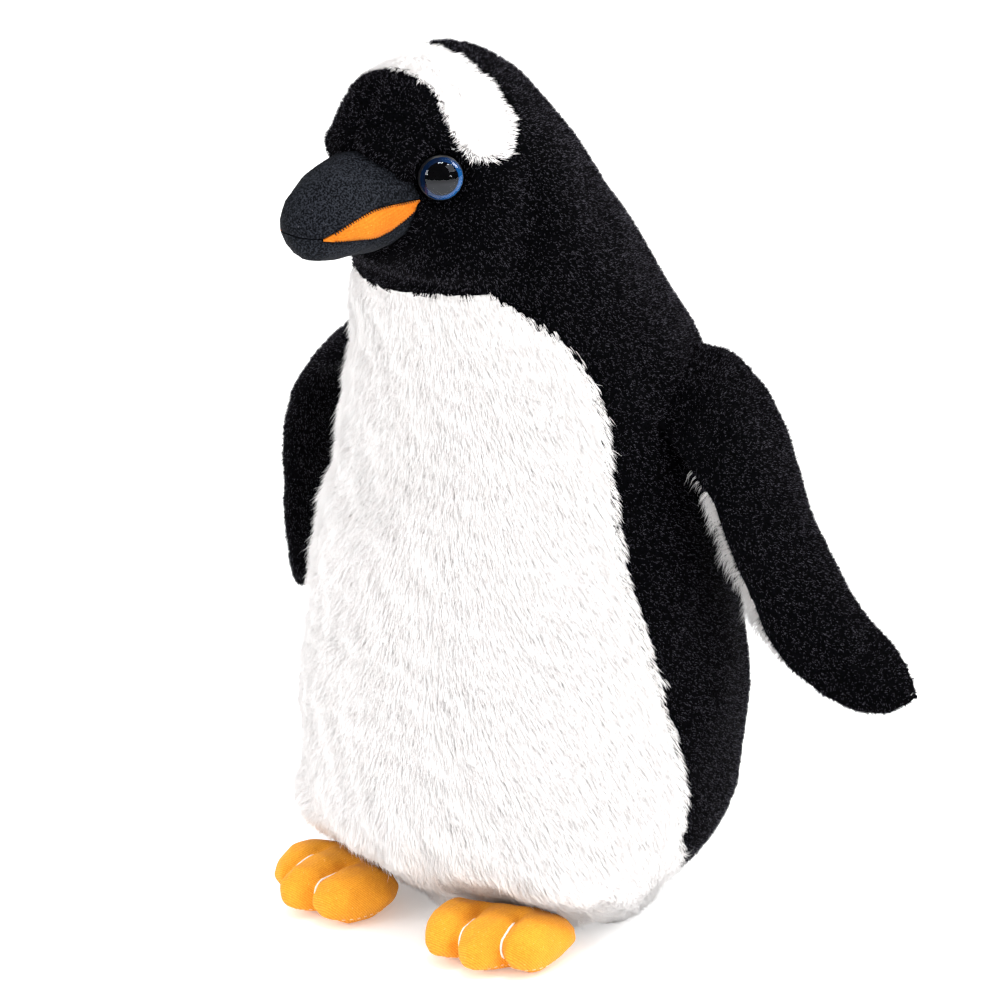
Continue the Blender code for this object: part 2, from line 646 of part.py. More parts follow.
def make_eye(panel, head):
    """A safety eye on the left with its seat in the panel and its room in the head, and a mirrored copy."""
    frame = eye_frame()
    made = eye_layers(frame) + [eye_washer(frame)]
    behind = WASHER_Z - WASHER_THICK - EYE_POCKET_GAP
    hole = eye_cutter("panel_hole", POST_RADIUS + PANEL_HOLE_GAP, behind, EYE_CUTTER_TOP / 2, frame)
    seat = eye_cutter("eye_flat", EYE_RADIUS + EYE_FLAT_GAP, EYE_SEAT / 2, EYE_CUTTER_TOP, frame, 24)
    for cutter in (hole, seat):
        boolean(panel, cutter)
    bake_modifiers(panel)
    pocket = eye_cutter("washer_pocket", WASHER_RADIUS + EYE_POCKET_GAP, behind, EYE_CUTTER_TOP, frame, 24)
    shaft = eye_cutter("post_pocket", POST_RADIUS + EYE_POCKET_GAP, -POST_LENGTH - EYE_POCKET_GAP,
                       EYE_CUTTER_TOP / 3, frame)
    for cutter in (pocket, shaft, as_helper(mirrored(pocket, "washer_pocket_right")),
                   as_helper(mirrored(shaft, "post_pocket_right"))):
        boolean(head, cutter)
    bake_modifiers(head)
    for obj in made:
        mirrored(obj, obj.name.replace("left", "right"))


# ---------------------------------------------------------------- wings
def wing_station(u):
    """Front edge, back edge, half thickness and arch of the left wing at u stations from the root."""
    before = WING[-2]
    row = spline(WING, u, (*before[3:6], *before[0:3], -before[6], before[7]))
    return Vector(row[0:3]), Vector(row[3:6]), row[6], row[7]


def wing_point(u, angle, depth, side):
    """A point on a wing; angle 0 is the back edge and 90 degrees the middle of the black face."""
    top = len(WING) - 1
    front, back, thick, arch = wing_station(u)
    ahead, behind = (sum(wing_station(v)[:2], Vector()) / 2 for v in (min(u + 0.05, top), max(u - 0.05, 0.0)))
    along = (ahead - behind).normalized()
    inner_front, inner_back = wing_station(min(u, top - 0.05))[:2]
    chord = (inner_back - inner_front).normalized()
    wide = max((back - front).length / 2 - depth, 0.0)
    high = max(thick - depth, 0.0)
    centre = (front + back) / 2 - along * depth * max(0.0, u - top + 1.5) / 1.5
    rise = high * math.sin(angle) + arch * math.sin(angle) ** 2
    point = centre + chord * wide * math.cos(angle) + along.cross(chord).normalized() * rise
    if side > 0:
        return point
    out, up = spline(RIGHT_WING_SHIFT, u)
    return Vector((-point.x - out, point.y, point.z + up))


def make_wing(name, side):
    """A wing's black outer panel, white lining and stuffing."""
    top = len(WING) - 1
    first, last = (math.radians(a) for a in WING_LINING)
    rings = [top * i / WING_RINGS for i in range(WING_RINGS + 1)]
    # A wing turns about its root seam.
    front, back = wing_station(0.0)[:2]
    hinge = (front + back) / 2
    hinge.x *= side

    def rows(low, high, steps, depth, shares):
        arc = [low + (high - low) * j / steps for j in range(steps + 1)]
        return [[wing_point(u, a, depth, side) for a in arc] for u in shares]

    for piece, fabric, low, high, steps in (
        ("outer", "black_plush", last - 2 * math.pi, first, WING_OUTER_STEPS),
        ("lining", "white_plush", first, last, WING_LINING_STEPS),
    ):
        outer, inner = (rows(low, high, steps, depth, rings) for depth in (0.0, WING_SKIN))
        set_origin(panel(f"{name}_{piece}", outer, inner, lambda i, j: True, fabric), hinge)
    start, end = WING_FILL
    inside = [top * (start + (end - start) * i / WING_RINGS) for i in range(WING_RINGS + 1)]
    fill = rows(0, 2 * math.pi, WING_OUTER_STEPS + WING_LINING_STEPS, WING_SKIN + WING_FILL_GAP, inside)
    set_origin(closed_form(f"{name}_stuffing", [row[:-1] for row in fill], "stuffing"), hinge)


# ---------------------------------------------------------------- feet
def splayed(x, y):
    """A place on the foot, given as if it pointed straight ahead, turned outwards."""
    turn = math.radians(FOOT_SPLAY)
    ahead, across = SPLAY_Y - y, x - FOOT_X
    return (
        FOOT_X + across * math.cos(turn) + ahead * math.sin(turn),
        SPLAY_Y - ahead * math.cos(turn) + across * math.sin(turn),
    )


def foot_form(name, shrink, fabric):
    """The three toes and the instep of the left foot as one soft solid, shrunk by shrink."""
    middle_z = FOOT_HEIGHT * FOOT_MIDDLE
    lobes = [(x, (TOE_REAR_Y + tip) / 2, TOE_RADIUS, (TOE_REAR_Y - tip) / 2) for x, tip in TOES]
    lobes.append((INSTEP_X, INSTEP_Y, INSTEP_WIDE, INSTEP_LONG))
    first = None
    for n, (x, y, wide, long) in enumerate(lobes):
        bm = bmesh.new()
        bmesh.ops.create_uvsphere(bm, u_segments=18, v_segments=12, radius=1.0)
        bmesh.ops.rotate(bm, verts=bm.verts, cent=(0, 0, 0), matrix=Matrix.Rotation(math.pi / 2, 3, "X"))
        size = (wide - shrink, long - shrink, FOOT_HEIGHT * FOOT_HALF - shrink)
        bmesh.ops.scale(bm, vec=size, verts=bm.verts)
        bmesh.ops.translate(bm, vec=(FOOT_X + x, y, middle_z), verts=bm.verts)
        for vert in bm.verts:
            rear = min(1.0, max(0.0, (vert.co.y - INSTEP_CREST_Y) / (FOOT_REAR_Y - INSTEP_CREST_Y)))
            vert.co.z = FOOT_REAR_Z + (vert.co.z - FOOT_REAR_Z) * (1 - REAR_TAPER * rear)
            vert.co.x, vert.co.y = splayed(vert.co.x, vert.co.y)
        lobe = add_object(name if n == 0 else f"{name}_lobe_{n}", bm, fabric)
        if first is None:
            first = lobe
        else:
            boolean(first, as_helper(lobe), "UNION")
    soften = first.modifiers.new("soften", "REMESH")
    soften.mode = "VOXEL"
    soften.voxel_size = FOOT_FACET
    soften.use_smooth_shade = True
    smooth = first.modifiers.new("smooth", "SMOOTH")
    smooth.factor = 0.5
    smooth.iterations = 2
    return bake_modifiers(first)


def ground_cutter(name, height):
    """A slab under the foot with its top at the given height."""
    bm = bmesh.new()
    bmesh.ops.create_cube(bm, size=1.0)
    bmesh.ops.scale(bm, vec=GROUND_BLOCK, verts=bm.verts)
    bmesh.ops.translate(bm, vec=(FOOT_X, GROUND_BLOCK_Y, height - GROUND_BLOCK[2] / 2), verts=bm.verts)
    return as_helper(add_object(name, bm, "orange_knit"))


def make_foot():
    """The left foot's upper, sole, stuffing and two toe stitches, and a mirrored copy of each."""
    form = as_helper(foot_form("foot_outer_form", 0.0, "orange_knit"))
    core = as_helper(foot_form("foot_inner_form", KNIT, "orange_knit"))
    made = []
    upper = bpy.data.objects.new("foot_left_upper", form.data.copy())
    sole = bpy.data.objects.new("foot_left_sole", form.data.copy())
    fill = foot_form("foot_left_stuffing", KNIT + FILL_GAP, "stuffing")
    for obj in (upper, sole):
        PARTS.objects.link(obj)
    legs = as_helper(body_fill("leg_clearance", 0.0, LEG_TRIM_TOP_Z, -FOOT_CLEARANCE))
    for obj in (upper, sole, fill):
        boolean(obj, legs)
    boolean(upper, core)
    boolean(upper, ground_cutter("foot_upper_trim", SOLE_THICK + SEAM_GAP))
    boolean(sole, ground_cutter("foot_sole_shape", SOLE_THICK), "INTERSECT")
    boolean(sole, ground_cutter("ground", 0.0))
    boolean(fill, ground_cutter("foot_fill_trim", SOLE_THICK + FILL_GAP))
    made += [bake_modifiers(obj) for obj in (upper, sole, fill)]
    for side, x in (("inner", -0.5), ("outer", 0.5)):
        made.append(toe_thread(f"foot_left_thread_{side}", FOOT_X + x * (TOES[2][0] - TOES[0][0]) / 2, form))
    # A foot folds about a line across its rear seam.
    for obj in made:
        other = mirrored(obj, obj.name.replace("left", "right"))
        set_origin(obj, Vector((FOOT_X, FOOT_REAR_Y, FOOT_REAR_Z)))
        set_origin(other, Vector((-FOOT_X, FOOT_REAR_Y, FOOT_REAR_Z)))


def toe_thread(name, x, form):
    """A stitch lying in the valley between two toes, laid on the foot's surface from above."""
    bpy.context.view_layer.update()
    points = []
    for k in range(THREAD_POINTS):
        y = THREAD_START_Y + (THREAD_END_Y - THREAD_START_Y) * k / (THREAD_POINTS - 1)
        hit, where, normal, _ = form.ray_cast(Vector((*splayed(x, y), 0.1)), Vector((0, 0, -1)))
        if hit:
            points.append(where + normal * (THREAD_RADIUS + THREAD_LIFT))
    curve = bpy.data.curves.new(name, "CURVE")
    curve.dimensions = "3D"
    curve.bevel_depth = THREAD_RADIUS
    curve.bevel_resolution = 1
    curve.use_fill_caps = True
    line = curve.splines.new("POLY")
    line.points.add(len(points) - 1)
    for point, where in zip(line.points, points):
        point.co = (*where, 1.0)
    guide = bpy.data.objects.new(name + "_path", curve)
    HELPERS.objects.link(guide)
    bpy.context.view_layer.update()
    graph = bpy.context.evaluated_depsgraph_get()
    mesh = bpy.data.meshes.new_from_object(guide.evaluated_get(graph), depsgraph=graph)
    bpy.data.objects.remove(guide, do_unlink=True)
    bm = bmesh.new()
    bm.from_mesh(mesh)
    bmesh.ops.remove_doubles(bm, verts=bm.verts, dist=1e-6)
    bmesh.ops.recalc_face_normals(bm, faces=bm.faces)
    return add_object(name, bm, "white_thread")


PARTS, HELPERS = start()
side_left, head_fill, torso_fill = make_body()
base_panel()
pouch(torso_fill)
make_beak()
make_eye(side_left, head_fill)
mirrored(side_left, "side_panel_right")
make_wing("wing_left", 1)
make_wing("wing_right", -1)
make_foot()
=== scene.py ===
import json
import math

import bmesh
import bpy
import numpy as np
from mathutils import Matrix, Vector
from mathutils.bvhtree import BVHTree


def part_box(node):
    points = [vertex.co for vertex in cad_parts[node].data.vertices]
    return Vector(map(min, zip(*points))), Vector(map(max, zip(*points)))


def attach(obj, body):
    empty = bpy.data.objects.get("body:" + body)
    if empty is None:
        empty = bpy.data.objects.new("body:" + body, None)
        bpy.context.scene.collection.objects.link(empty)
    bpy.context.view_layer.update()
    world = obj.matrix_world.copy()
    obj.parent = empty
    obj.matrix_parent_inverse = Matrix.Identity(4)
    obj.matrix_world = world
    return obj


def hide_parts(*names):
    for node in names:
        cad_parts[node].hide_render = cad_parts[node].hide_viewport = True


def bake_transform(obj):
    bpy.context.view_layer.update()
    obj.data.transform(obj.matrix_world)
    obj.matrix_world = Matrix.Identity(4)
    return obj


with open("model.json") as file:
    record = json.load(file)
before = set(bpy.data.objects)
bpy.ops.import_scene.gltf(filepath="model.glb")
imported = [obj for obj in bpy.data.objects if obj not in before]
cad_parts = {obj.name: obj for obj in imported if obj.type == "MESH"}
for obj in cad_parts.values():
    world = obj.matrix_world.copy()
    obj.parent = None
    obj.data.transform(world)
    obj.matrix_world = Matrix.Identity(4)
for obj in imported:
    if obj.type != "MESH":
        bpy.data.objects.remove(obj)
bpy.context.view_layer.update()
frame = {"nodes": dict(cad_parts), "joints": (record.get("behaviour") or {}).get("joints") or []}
NODES = frame["nodes"]
JOINTS = {j["name"]: j for j in frame["joints"]}
SIDES = (("left", 1), ("right", -1))
MM = 0.001

BODY_NODES = (
    "side_panel_left", "side_panel_right", "belly_panel", "base_panel",
    "head_band", "torso_stuffing", "head_stuffing",
)
WHITE_NODES = ("belly_panel", "base_panel", "head_band")
BLACK_NODES = ("side_panel_left", "side_panel_right")

GROUND = 0.3 * MM           # lowest height of anything that rests on the floor
CLOTH_THICK = 1.0 * MM      # body skin without its pile
WING_CLOTH = 0.8 * MM
FOOT_CLOTH = 0.7 * MM
WHITE_SINK = 2.0 * MM       # depth of the skin under the long pile, inside the CAD form
WHITE_SINK_HEAD = 0.7 * MM
BLACK_SINK = -0.3 * MM
SINK_BLEND = 12 * MM        # the sink changes over this width across a black and white seam
SWELL = 1.0 * MM            # what the filling adds between the seams, on top of the CAD form
SEAM_HALF = 1.8 * MM        # cloth this near a seam is held by it
WING_SINK = 0.9 * MM
FOOT_SINK = 0.4 * MM


# ---------------------------------------------------------------- arrays and meshes

def coords(mesh):
    out = np.empty(len(mesh.vertices) * 3, np.float32)
    mesh.vertices.foreach_get("co", out)
    return out.reshape(-1, 3).astype(float)


def set_coords(mesh, co):
    mesh.vertices.foreach_set("co", np.ascontiguousarray(co, np.float32).ravel())
    mesh.update()


def vertex_normals(mesh):
    out = np.empty(len(mesh.vertices) * 3, np.float32)
    mesh.vertex_normals.foreach_get("vector", out)
    return out.reshape(-1, 3).astype(float)


def triangles(mesh):
    """Vertex triples and the polygon each came from."""
    mesh.calc_loop_triangles()
    tri = np.empty(len(mesh.loop_triangles) * 3, np.int32)
    poly = np.empty(len(mesh.loop_triangles), np.int32)
    mesh.loop_triangles.foreach_get("vertices", tri)
    mesh.loop_triangles.foreach_get("polygon_index", poly)
    return tri.reshape(-1, 3), poly


def polygon_centres(mesh):
    out = np.empty(len(mesh.polygons) * 3, np.float32)
    mesh.polygons.foreach_get("center", out)
    return out.reshape(-1, 3).astype(float)


def unit(v):
    return v / np.maximum(np.linalg.norm(v, axis=-1, keepdims=True), 1e-12)


def smoothstep(low, high, x):
    t = np.clip((x - low) / (high - low), 0, 1)
    return t * t * (3 - 2 * t)


def waves(points, size, seed):
    """A smooth random height over points, with a spread of about 1."""
    rng = np.random.default_rng(seed)
    total = np.zeros(len(points))
    for _ in range(12):
        way = unit(rng.normal(size=3))
        pace = 2 * math.pi / size * rng.uniform(0.7, 1.4)
        total += np.sin(points @ way * pace + rng.uniform(0, 2 * math.pi))
    return total / math.sqrt(6)


def new_object(name, mesh):
    ob = bpy.data.objects.new(name, mesh)
    bpy.context.scene.collection.objects.link(ob)
    return ob


def baked(ob):
    """ob with its modifiers turned into mesh."""
    graph = bpy.context.evaluated_depsgraph_get()
    mesh = bpy.data.meshes.new_from_object(ob.evaluated_get(graph))
    old = ob.data
    ob.modifiers.clear()
    ob.data = mesh
    bpy.data.meshes.remove(old)
    return ob


def joined(name, nodes):
    """The CAD nodes as one mesh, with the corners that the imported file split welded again."""
    bm = bmesh.new()
    for node in nodes:
        bm.from_mesh(NODES[node].data)
    bmesh.ops.remove_doubles(bm, verts=bm.verts, dist=1e-5)
    mesh = bpy.data.meshes.new(name)
    bm.to_mesh(mesh)
    bm.free()
    return new_object(name, mesh)


def remeshed(name, nodes, voxel, rounds):
    """One soft closed form round the CAD nodes."""
    ob = joined(name, nodes)
    grid = ob.modifiers.new("grid", "REMESH")
    grid.mode = "VOXEL"
    grid.voxel_size = voxel
    soft = ob.modifiers.new("soft", "SMOOTH")
    soft.factor = 0.5
    soft.iterations = rounds
    return baked(ob)


def snapped(ob, nodes):
    """Brings a smoothed form back out to the CAD surface it was made from."""
    source = joined("source", nodes)
    tri, _ = triangles(source.data)
    tree = BVHTree.FromPolygons(coords(source.data).tolist(), tri.tolist())
    bpy.data.objects.remove(source)
    co, no = coords(ob.data), vertex_normals(ob.data)
    reach = 5 * MM      # farthest that smoothing can have moved the form
    for k in range(len(co)):
        hit = tree.ray_cast(co[k] + no[k] * reach, -no[k], 2 * reach)[0]
        if hit is not None:
            co[k] = hit
    set_coords(ob.data, co)
    soft = ob.modifiers.new("soft", "SMOOTH")
    soft.factor = 0.5
    soft.iterations = 1
    return baked(ob)


def subdivided(ob):
    ob.modifiers.new("finer", "SUBSURF").levels = 1
    return baked(ob)


TREES = {}


def tree_of(node):
    if node not in TREES:
        mesh = NODES[node].data
        tri, _ = triangles(mesh)
        TREES[node] = BVHTree.FromPolygons(coords(mesh).tolist(), tri.tolist())
    return TREES[node]


def distance(points, nodes):
    """How far each point lies from the nearest of the CAD nodes."""
    best = np.full(len(points), 1.0)
    for node in nodes:
        tree = tree_of(node)
        found = [tree.find_nearest(p)[3] for p in points.tolist()]
        best = np.minimum(best, found)
    return best


def along_path(points, path):
    """Distance of each point from a line through the points of path."""
    best = np.full(len(points), 1.0)
    path = np.array(path, float)
    for a, b in zip(path[:-1], path[1:]):
        ab = b - a
        t = np.clip((points - a) @ ab / (ab @ ab), 0, 1)
        best = np.minimum(best, np.linalg.norm(points - a - t[:, None] * ab, axis=1))
    return best


def hill(distance_to, width):
    return np.exp(-((distance_to / width) ** 2))


def inflated(ob, pins, cap, pressure=4.0):
    """Air pressure swells the cloth between its pinned seams, by cap at most."""
    before = coords(ob.data)
    group = ob.vertex_groups.new(name="seams")
    group.add([int(i) for i in np.nonzero(pins)[0]], 1.0, "REPLACE")
    cloth = ob.modifiers.new("cloth", "CLOTH")
    cloth.settings.quality = 4
    cloth.settings.mass = 0.3
    cloth.settings.tension_stiffness = 12
    cloth.settings.compression_stiffness = 12
    cloth.settings.bending_stiffness = 0.6
    cloth.settings.use_pressure = True
    cloth.settings.uniform_pressure_force = pressure
    cloth.settings.effector_weights.gravity = 0
    cloth.settings.vertex_group_mass = "seams"
    cloth.collision_settings.use_collision = False
    for f in range(1, 21):
        bpy.context.scene.frame_set(f)
    graph = bpy.context.evaluated_depsgraph_get()
    mesh = bpy.data.meshes.new_from_object(ob.evaluated_get(graph))
    moved = coords(mesh) - before
    bpy.data.meshes.remove(mesh)
    ob.modifiers.clear()
    ob.vertex_groups.clear()
    bpy.context.scene.frame_set(1)
    size = np.linalg.norm(moved, axis=1)[:, None]
    set_coords(ob.data, before + moved * np.minimum(1, cap / np.maximum(size, 1e-9)))
    return ob


# ---------------------------------------------------------------- materials

def nodes_of(name):
    mat = bpy.data.materials.new(name)
    mat.use_nodes = True
    tree = mat.node_tree
    return mat, tree, tree.nodes["Principled BSDF"]


def add(tree, kind, **values):
    node = tree.nodes.new(kind)
    for key, value in values.items():
        if hasattr(node, key):
            setattr(node, key, value)
        else:
            node.inputs[key.replace("_", " ")].default_value = value
    return node


def place(tree):
    return add(tree, "ShaderNodeTexCoord").outputs["Object"]


def noise(tree, scale, detail=3.0):
    node = add(tree, "ShaderNodeTexNoise", Scale=scale, Detail=detail)
    tree.links.new(place(tree), node.inputs["Vector"])
    return node.outputs["Fac"]


def ramp(tree, value, stops):
    node = add(tree, "ShaderNodeValToRGB")
    tree.links.new(value, node.inputs["Fac"])
    while len(node.color_ramp.elements) < len(stops):
        node.color_ramp.elements.new(0.5)
    for element, (at, colour) in zip(node.color_ramp.elements, stops):
        element.position = at
        element.color = (*colour, 1)
    return node.outputs["Color"]


def bump(tree, shader, height, strength, depth):
    node = add(tree, "ShaderNodeBump", Strength=strength, Distance=depth)
    tree.links.new(height, node.inputs["Height"])
    tree.links.new(node.outputs["Normal"], shader.inputs["Normal"])


def maths(tree, kind, a, b):
    node = add(tree, "ShaderNodeMath", operation=kind)
    for socket, value in zip(node.inputs, (a, b)):
        if isinstance(value, (int, float)):
            socket.default_value = value
        else:
            tree.links.new(value, socket)
    return node.outputs[0]


def roughened(tree, shader, value, low, high):
    node = add(tree, "ShaderNodeMapRange")
    node.inputs["To Min"].default_value = low
    node.inputs["To Max"].default_value = high
    tree.links.new(value, node.inputs["Value"])
    tree.links.new(node.outputs["Result"], shader.inputs["Roughness"])


def cloth_backing(name, dark, light, sheen):
    """The knitted backing that the pile grows from."""
    mat, tree, shader = nodes_of(name)
    fine = noise(tree, 900, 4)
    tree.links.new(ramp(tree, fine, ((0.35, dark), (0.7, light))), shader.inputs["Base Color"])
    roughened(tree, shader, noise(tree, 300), 0.75, 0.95)
    shader.inputs["Sheen Weight"].default_value = sheen
    shader.inputs["Specular IOR Level"].default_value = 0.03
    bump(tree, shader, fine, 0.6, 0.6 * MM)
    return mat


def pile_fibre(name, root, tip, fleck, share, sheen, roughness, shine, tipped):
    """Fibres from root colour to tip colour, a share of them in the fleck colour. The darker root colour is
    painted shade deep in the pile, and flecks kept to the tips are painted highlights.
    """
    mat, tree, shader = nodes_of(name)
    tone = add(tree, "ShaderNodeAttribute", attribute_name="tone").outputs["Fac"]
    along = add(tree, "ShaderNodeAttribute", attribute_name="along").outputs["Fac"]
    # painted shade: each fibre is darker towards its root, deep in the pile
    body = ramp(tree, along, ((0.0, root), (1.0, tip)))
    # flecks past tipped along a fibre: on the black pile, painted highlights on the fibre tips
    pick = maths(tree, "GREATER_THAN", tone, 1 - share)
    end = maths(tree, "MULTIPLY", pick, maths(tree, "GREATER_THAN", along, tipped))
    mix = add(tree, "ShaderNodeMix", data_type="RGBA")
    tree.links.new(end, mix.inputs["Factor"])
    tree.links.new(body, mix.inputs["A"])
    mix.inputs["B"].default_value = (*fleck, 1)
    tree.links.new(mix.outputs["Result"], shader.inputs["Base Color"])
    roughened(tree, shader, tone, roughness - 0.1, roughness + 0.1)
    shader.inputs["Sheen Weight"].default_value = sheen
    shader.inputs["Sheen Roughness"].default_value = 0.4
    shader.inputs["Specular IOR Level"].default_value = shine
    return mat


def knit(name, dark, light, fleck, pitch, way, sheen, depth, ribbed, grain):
    """A fine ribbed knit: ribs across way, stitches along them, painted shade in their grooves, grain and
    lint.
    """
    mat, tree, shader = nodes_of(name)
    where = place(tree)
    turned = add(tree, "ShaderNodeMapping")
    turned.inputs["Rotation"].default_value = way
    tree.links.new(where, turned.inputs["Vector"])
    ribs = add(tree, "ShaderNodeTexWave", Scale=0.314 / pitch, Distortion=0.8, Detail=2.0)
    ribs.inputs["Detail Scale"].default_value = 4.0
    tree.links.new(turned.outputs["Vector"], ribs.inputs["Vector"])
    cross = noise(tree, 1.2 / pitch, 2)
    height = maths(tree, "ADD", maths(tree, "MULTIPLY", ribs.outputs["Fac"], ribbed), cross)
    broad = noise(tree, 60, 2)
    shade = maths(tree, "ADD", maths(tree, "MULTIPLY", height, 0.45), maths(tree, "MULTIPLY", broad, 0.4))
    speck = maths(tree, "SUBTRACT", noise(tree, 1800, 2), 0.5)
    shade = maths(tree, "ADD", shade, maths(tree, "MULTIPLY", speck, grain))
    # painted shade: the dark colour lies where ribs and stitches are low, the light one on their tops;
    # broad adds a random tone
    body = ramp(tree, shade, ((0.3, dark), (0.75, light)))
    lint = maths(tree, "GREATER_THAN", noise(tree, 1500, 1), 0.755)
    mix = add(tree, "ShaderNodeMix", data_type="RGBA")
    tree.links.new(lint, mix.inputs["Factor"])
    tree.links.new(body, mix.inputs["A"])
    mix.inputs["B"].default_value = (*fleck, 1)
    tree.links.new(mix.outputs["Result"], shader.inputs["Base Color"])
    roughened(tree, shader, cross, 0.7, 0.92)
    shader.inputs["Sheen Weight"].default_value = sheen
    shader.inputs["Specular IOR Level"].default_value = 0.06
    bump(tree, shader, height, 0.7, depth)
    return mat


def hard(name, dark, light, roughness, scale=300, lift=0.02 * MM, **extra):
    """Smooth moulded or painted surface with slight wear."""
    mat, tree, shader = nodes_of(name)
    cloud = noise(tree, scale, 3)
    tree.links.new(ramp(tree, cloud, ((0.3, dark), (0.7, light))), shader.inputs["Base Color"])
    roughened(tree, shader, cloud, roughness * 0.7, roughness * 1.3)
    for key, value in extra.items():
        shader.inputs[key.replace("_", " ")].default_value = value
    if lift:
        bump(tree, shader, noise(tree, scale * 3, 2), 0.1, lift)
    return mat


def iris(name, centre, bright):
    """Blue painted iris seen through the dome, with painted light: painted shade on one side, and a painted
    highlight where the light comes out on the other.
    """
    mat, tree, shader = nodes_of(name)
    turn = add(tree, "ShaderNodeVectorMath", operation="SUBTRACT")
    tree.links.new(place(tree), turn.inputs[0])
    turn.inputs[1].default_value = centre
    along = add(tree, "ShaderNodeVectorMath", operation="DOT_PRODUCT")
    tree.links.new(turn.outputs["Vector"], along.inputs[0])
    along.inputs[1].default_value = tuple(b / (14 * MM) for b in bright)
    cloud = maths(tree, "MULTIPLY", noise(tree, 700, 2), 0.25)
    # painted light: the blue is brighter along bright and darker against it, with a random cloud
    shade = maths(tree, "ADD", maths(tree, "ADD", along.outputs["Value"], 0.40), cloud)
    blues = (0.0, 0.006, 0.026), (0.0, 0.026, 0.105), (0.002, 0.08, 0.27)
    colour = ramp(tree, shade, tuple(zip((0.25, 0.60, 0.95), blues)))
    tree.links.new(colour, shader.inputs["Base Color"])
    roughened(tree, shader, cloud, 0.5, 0.8)
    shader.inputs["Specular IOR Level"].default_value = 0.05
    return mat


def clear(name):
    """Clear acrylic: it shows what lies under it and mirrors the room by angle on its outer side."""
    mat, tree, shader = nodes_of(name)
    shader.inputs["Base Color"].default_value = (0.0, 0.0, 0.0, 1)
    shader.inputs["Roughness"].default_value = 0.015
    shader.inputs["Specular IOR Level"].default_value = 1.0
    through = add(tree, "ShaderNodeBsdfTransparent")
    angle = add(tree, "ShaderNodeFresnel", IOR=1.49)
    outside = maths(tree, "SUBTRACT", 1, add(tree, "ShaderNodeNewGeometry").outputs["Backfacing"])
    gloss = add(tree, "ShaderNodeBsdfGlossy", Roughness=0.015)
    gloss.inputs["Color"].default_value = (0.75, 0.78, 0.85, 1)
    mix = add(tree, "ShaderNodeMixShader")
    tree.links.new(maths(tree, "MULTIPLY", angle.outputs["Fac"], outside), mix.inputs["Fac"])
    tree.links.new(through.outputs[0], mix.inputs[1])
    tree.links.new(gloss.outputs[0], mix.inputs[2])
    tree.links.new(mix.outputs[0], tree.nodes["Material Output"].inputs["Surface"])
    tree.nodes.remove(shader)
    return mat


BLACK_BACKING = cloth_backing("black_backing", (0.0003, 0.0003, 0.0005), (0.0012, 0.0012, 0.002), 0.0)
WHITE_BACKING = cloth_backing("white_backing", (0.88, 0.855, 0.84), (0.94, 0.93, 0.92), 0.2)
# painted shade at the roots, and grey flecks on 30% of the fibre tips as painted highlights
BLACK_PILE = pile_fibre(
    "black_pile", root=(0.0003, 0.0003, 0.0006), tip=(0.0012, 0.0011, 0.0024), fleck=(0.064, 0.061, 0.074),
    share=0.30, sheen=0.0, roughness=0.7, shine=0.03, tipped=0.55,
)
# painted shade: the white fibres are darker and warmer at the roots; the flecks are a random lighter tone
WHITE_PILE = pile_fibre(
    "white_pile", root=(0.90, 0.85, 0.835), tip=(0.945, 0.925, 0.915), fleck=(0.955, 0.945, 0.94),
    share=0.3, sheen=0.2, roughness=0.7, shine=0.15, tipped=0.0,
)
# the knits' dark colours are the knit in shade, painted into the rib grooves
BLACK_KNIT = knit(
    "black_knit", dark=(0.0010, 0.0016, 0.0027), light=(0.0195, 0.022, 0.0285), fleck=(0.06, 0.06, 0.07),
    pitch=0.45 * MM, way=(0, 0.5, 0.3), sheen=0.0, depth=0.14 * MM, ribbed=0.15, grain=2.3,
)
ORANGE_KNIT = knit(
    "orange_knit", dark=(0.62, 0.200, 0.013), light=(0.85, 0.380, 0.034), fleck=(0.95, 0.50, 0.15),
    pitch=0.62 * MM, way=(-math.pi / 4, 0, -math.pi / 2), sheen=0.06, depth=0.16 * MM,
    ribbed=0.55, grain=0.4,
)
FLASH_KNIT = knit(
    "flash_knit", dark=(0.50, 0.112, 0.0065), light=(0.66, 0.220, 0.018), fleck=(0.90, 0.42, 0.10),
    pitch=0.62 * MM, way=(0, 0.5, 0.3), sheen=0.03, depth=0.14 * MM, ribbed=0.2, grain=0.5,
)
FIBRE = cloth_backing("white_fibre_fill", (0.75, 0.75, 0.75), (0.9, 0.9, 0.9), 0.2)
THREAD = hard("white_thread", (0.82, 0.78, 0.72), (0.95, 0.92, 0.88), 0.7, 1200, 0.05 * MM)
PUPIL = hard("black_pupil", (0.0005, 0.0005, 0.0006), (0.001, 0.001, 0.0012), 0.9,
             lift=0, Specular_IOR_Level=0.0)
# painted shade: the white hem thread is coloured as it looks in the shade of the foot, tinted by the orange
# knit
HEM_THREAD_IN_SHADE = hard("hem_thread_in_shade", (0.86, 0.55, 0.30), (0.95, 0.72, 0.48), 0.8, 1200, 0.05 * MM)
BACKING = hard("black_post", (0.01, 0.01, 0.01), (0.02, 0.02, 0.02), 0.4)
DOME = clear("clear_dome")
POUCH = cloth_backing("pouch_cloth", (0.6, 0.57, 0.5), (0.75, 0.72, 0.66), 0.1)
PELLETS = hard("pellets", (0.7, 0.7, 0.72), (0.85, 0.85, 0.87), 0.5, 700, 0.4 * MM)


def wear(node, mat):
    slots = NODES[node].data.materials
    if slots:
        slots[0] = mat
    else:
        slots.append(mat)


# ---------------------------------------------------------------- panels and pile

TILT_SPREAD = 0.16          # how unevenly the fibres lean, in radians
ROOT_DEPTH = 0.5 * MM       # fibres start inside the cloth
TAPER = 0.35                # share of its radius that a fibre loses before the tip

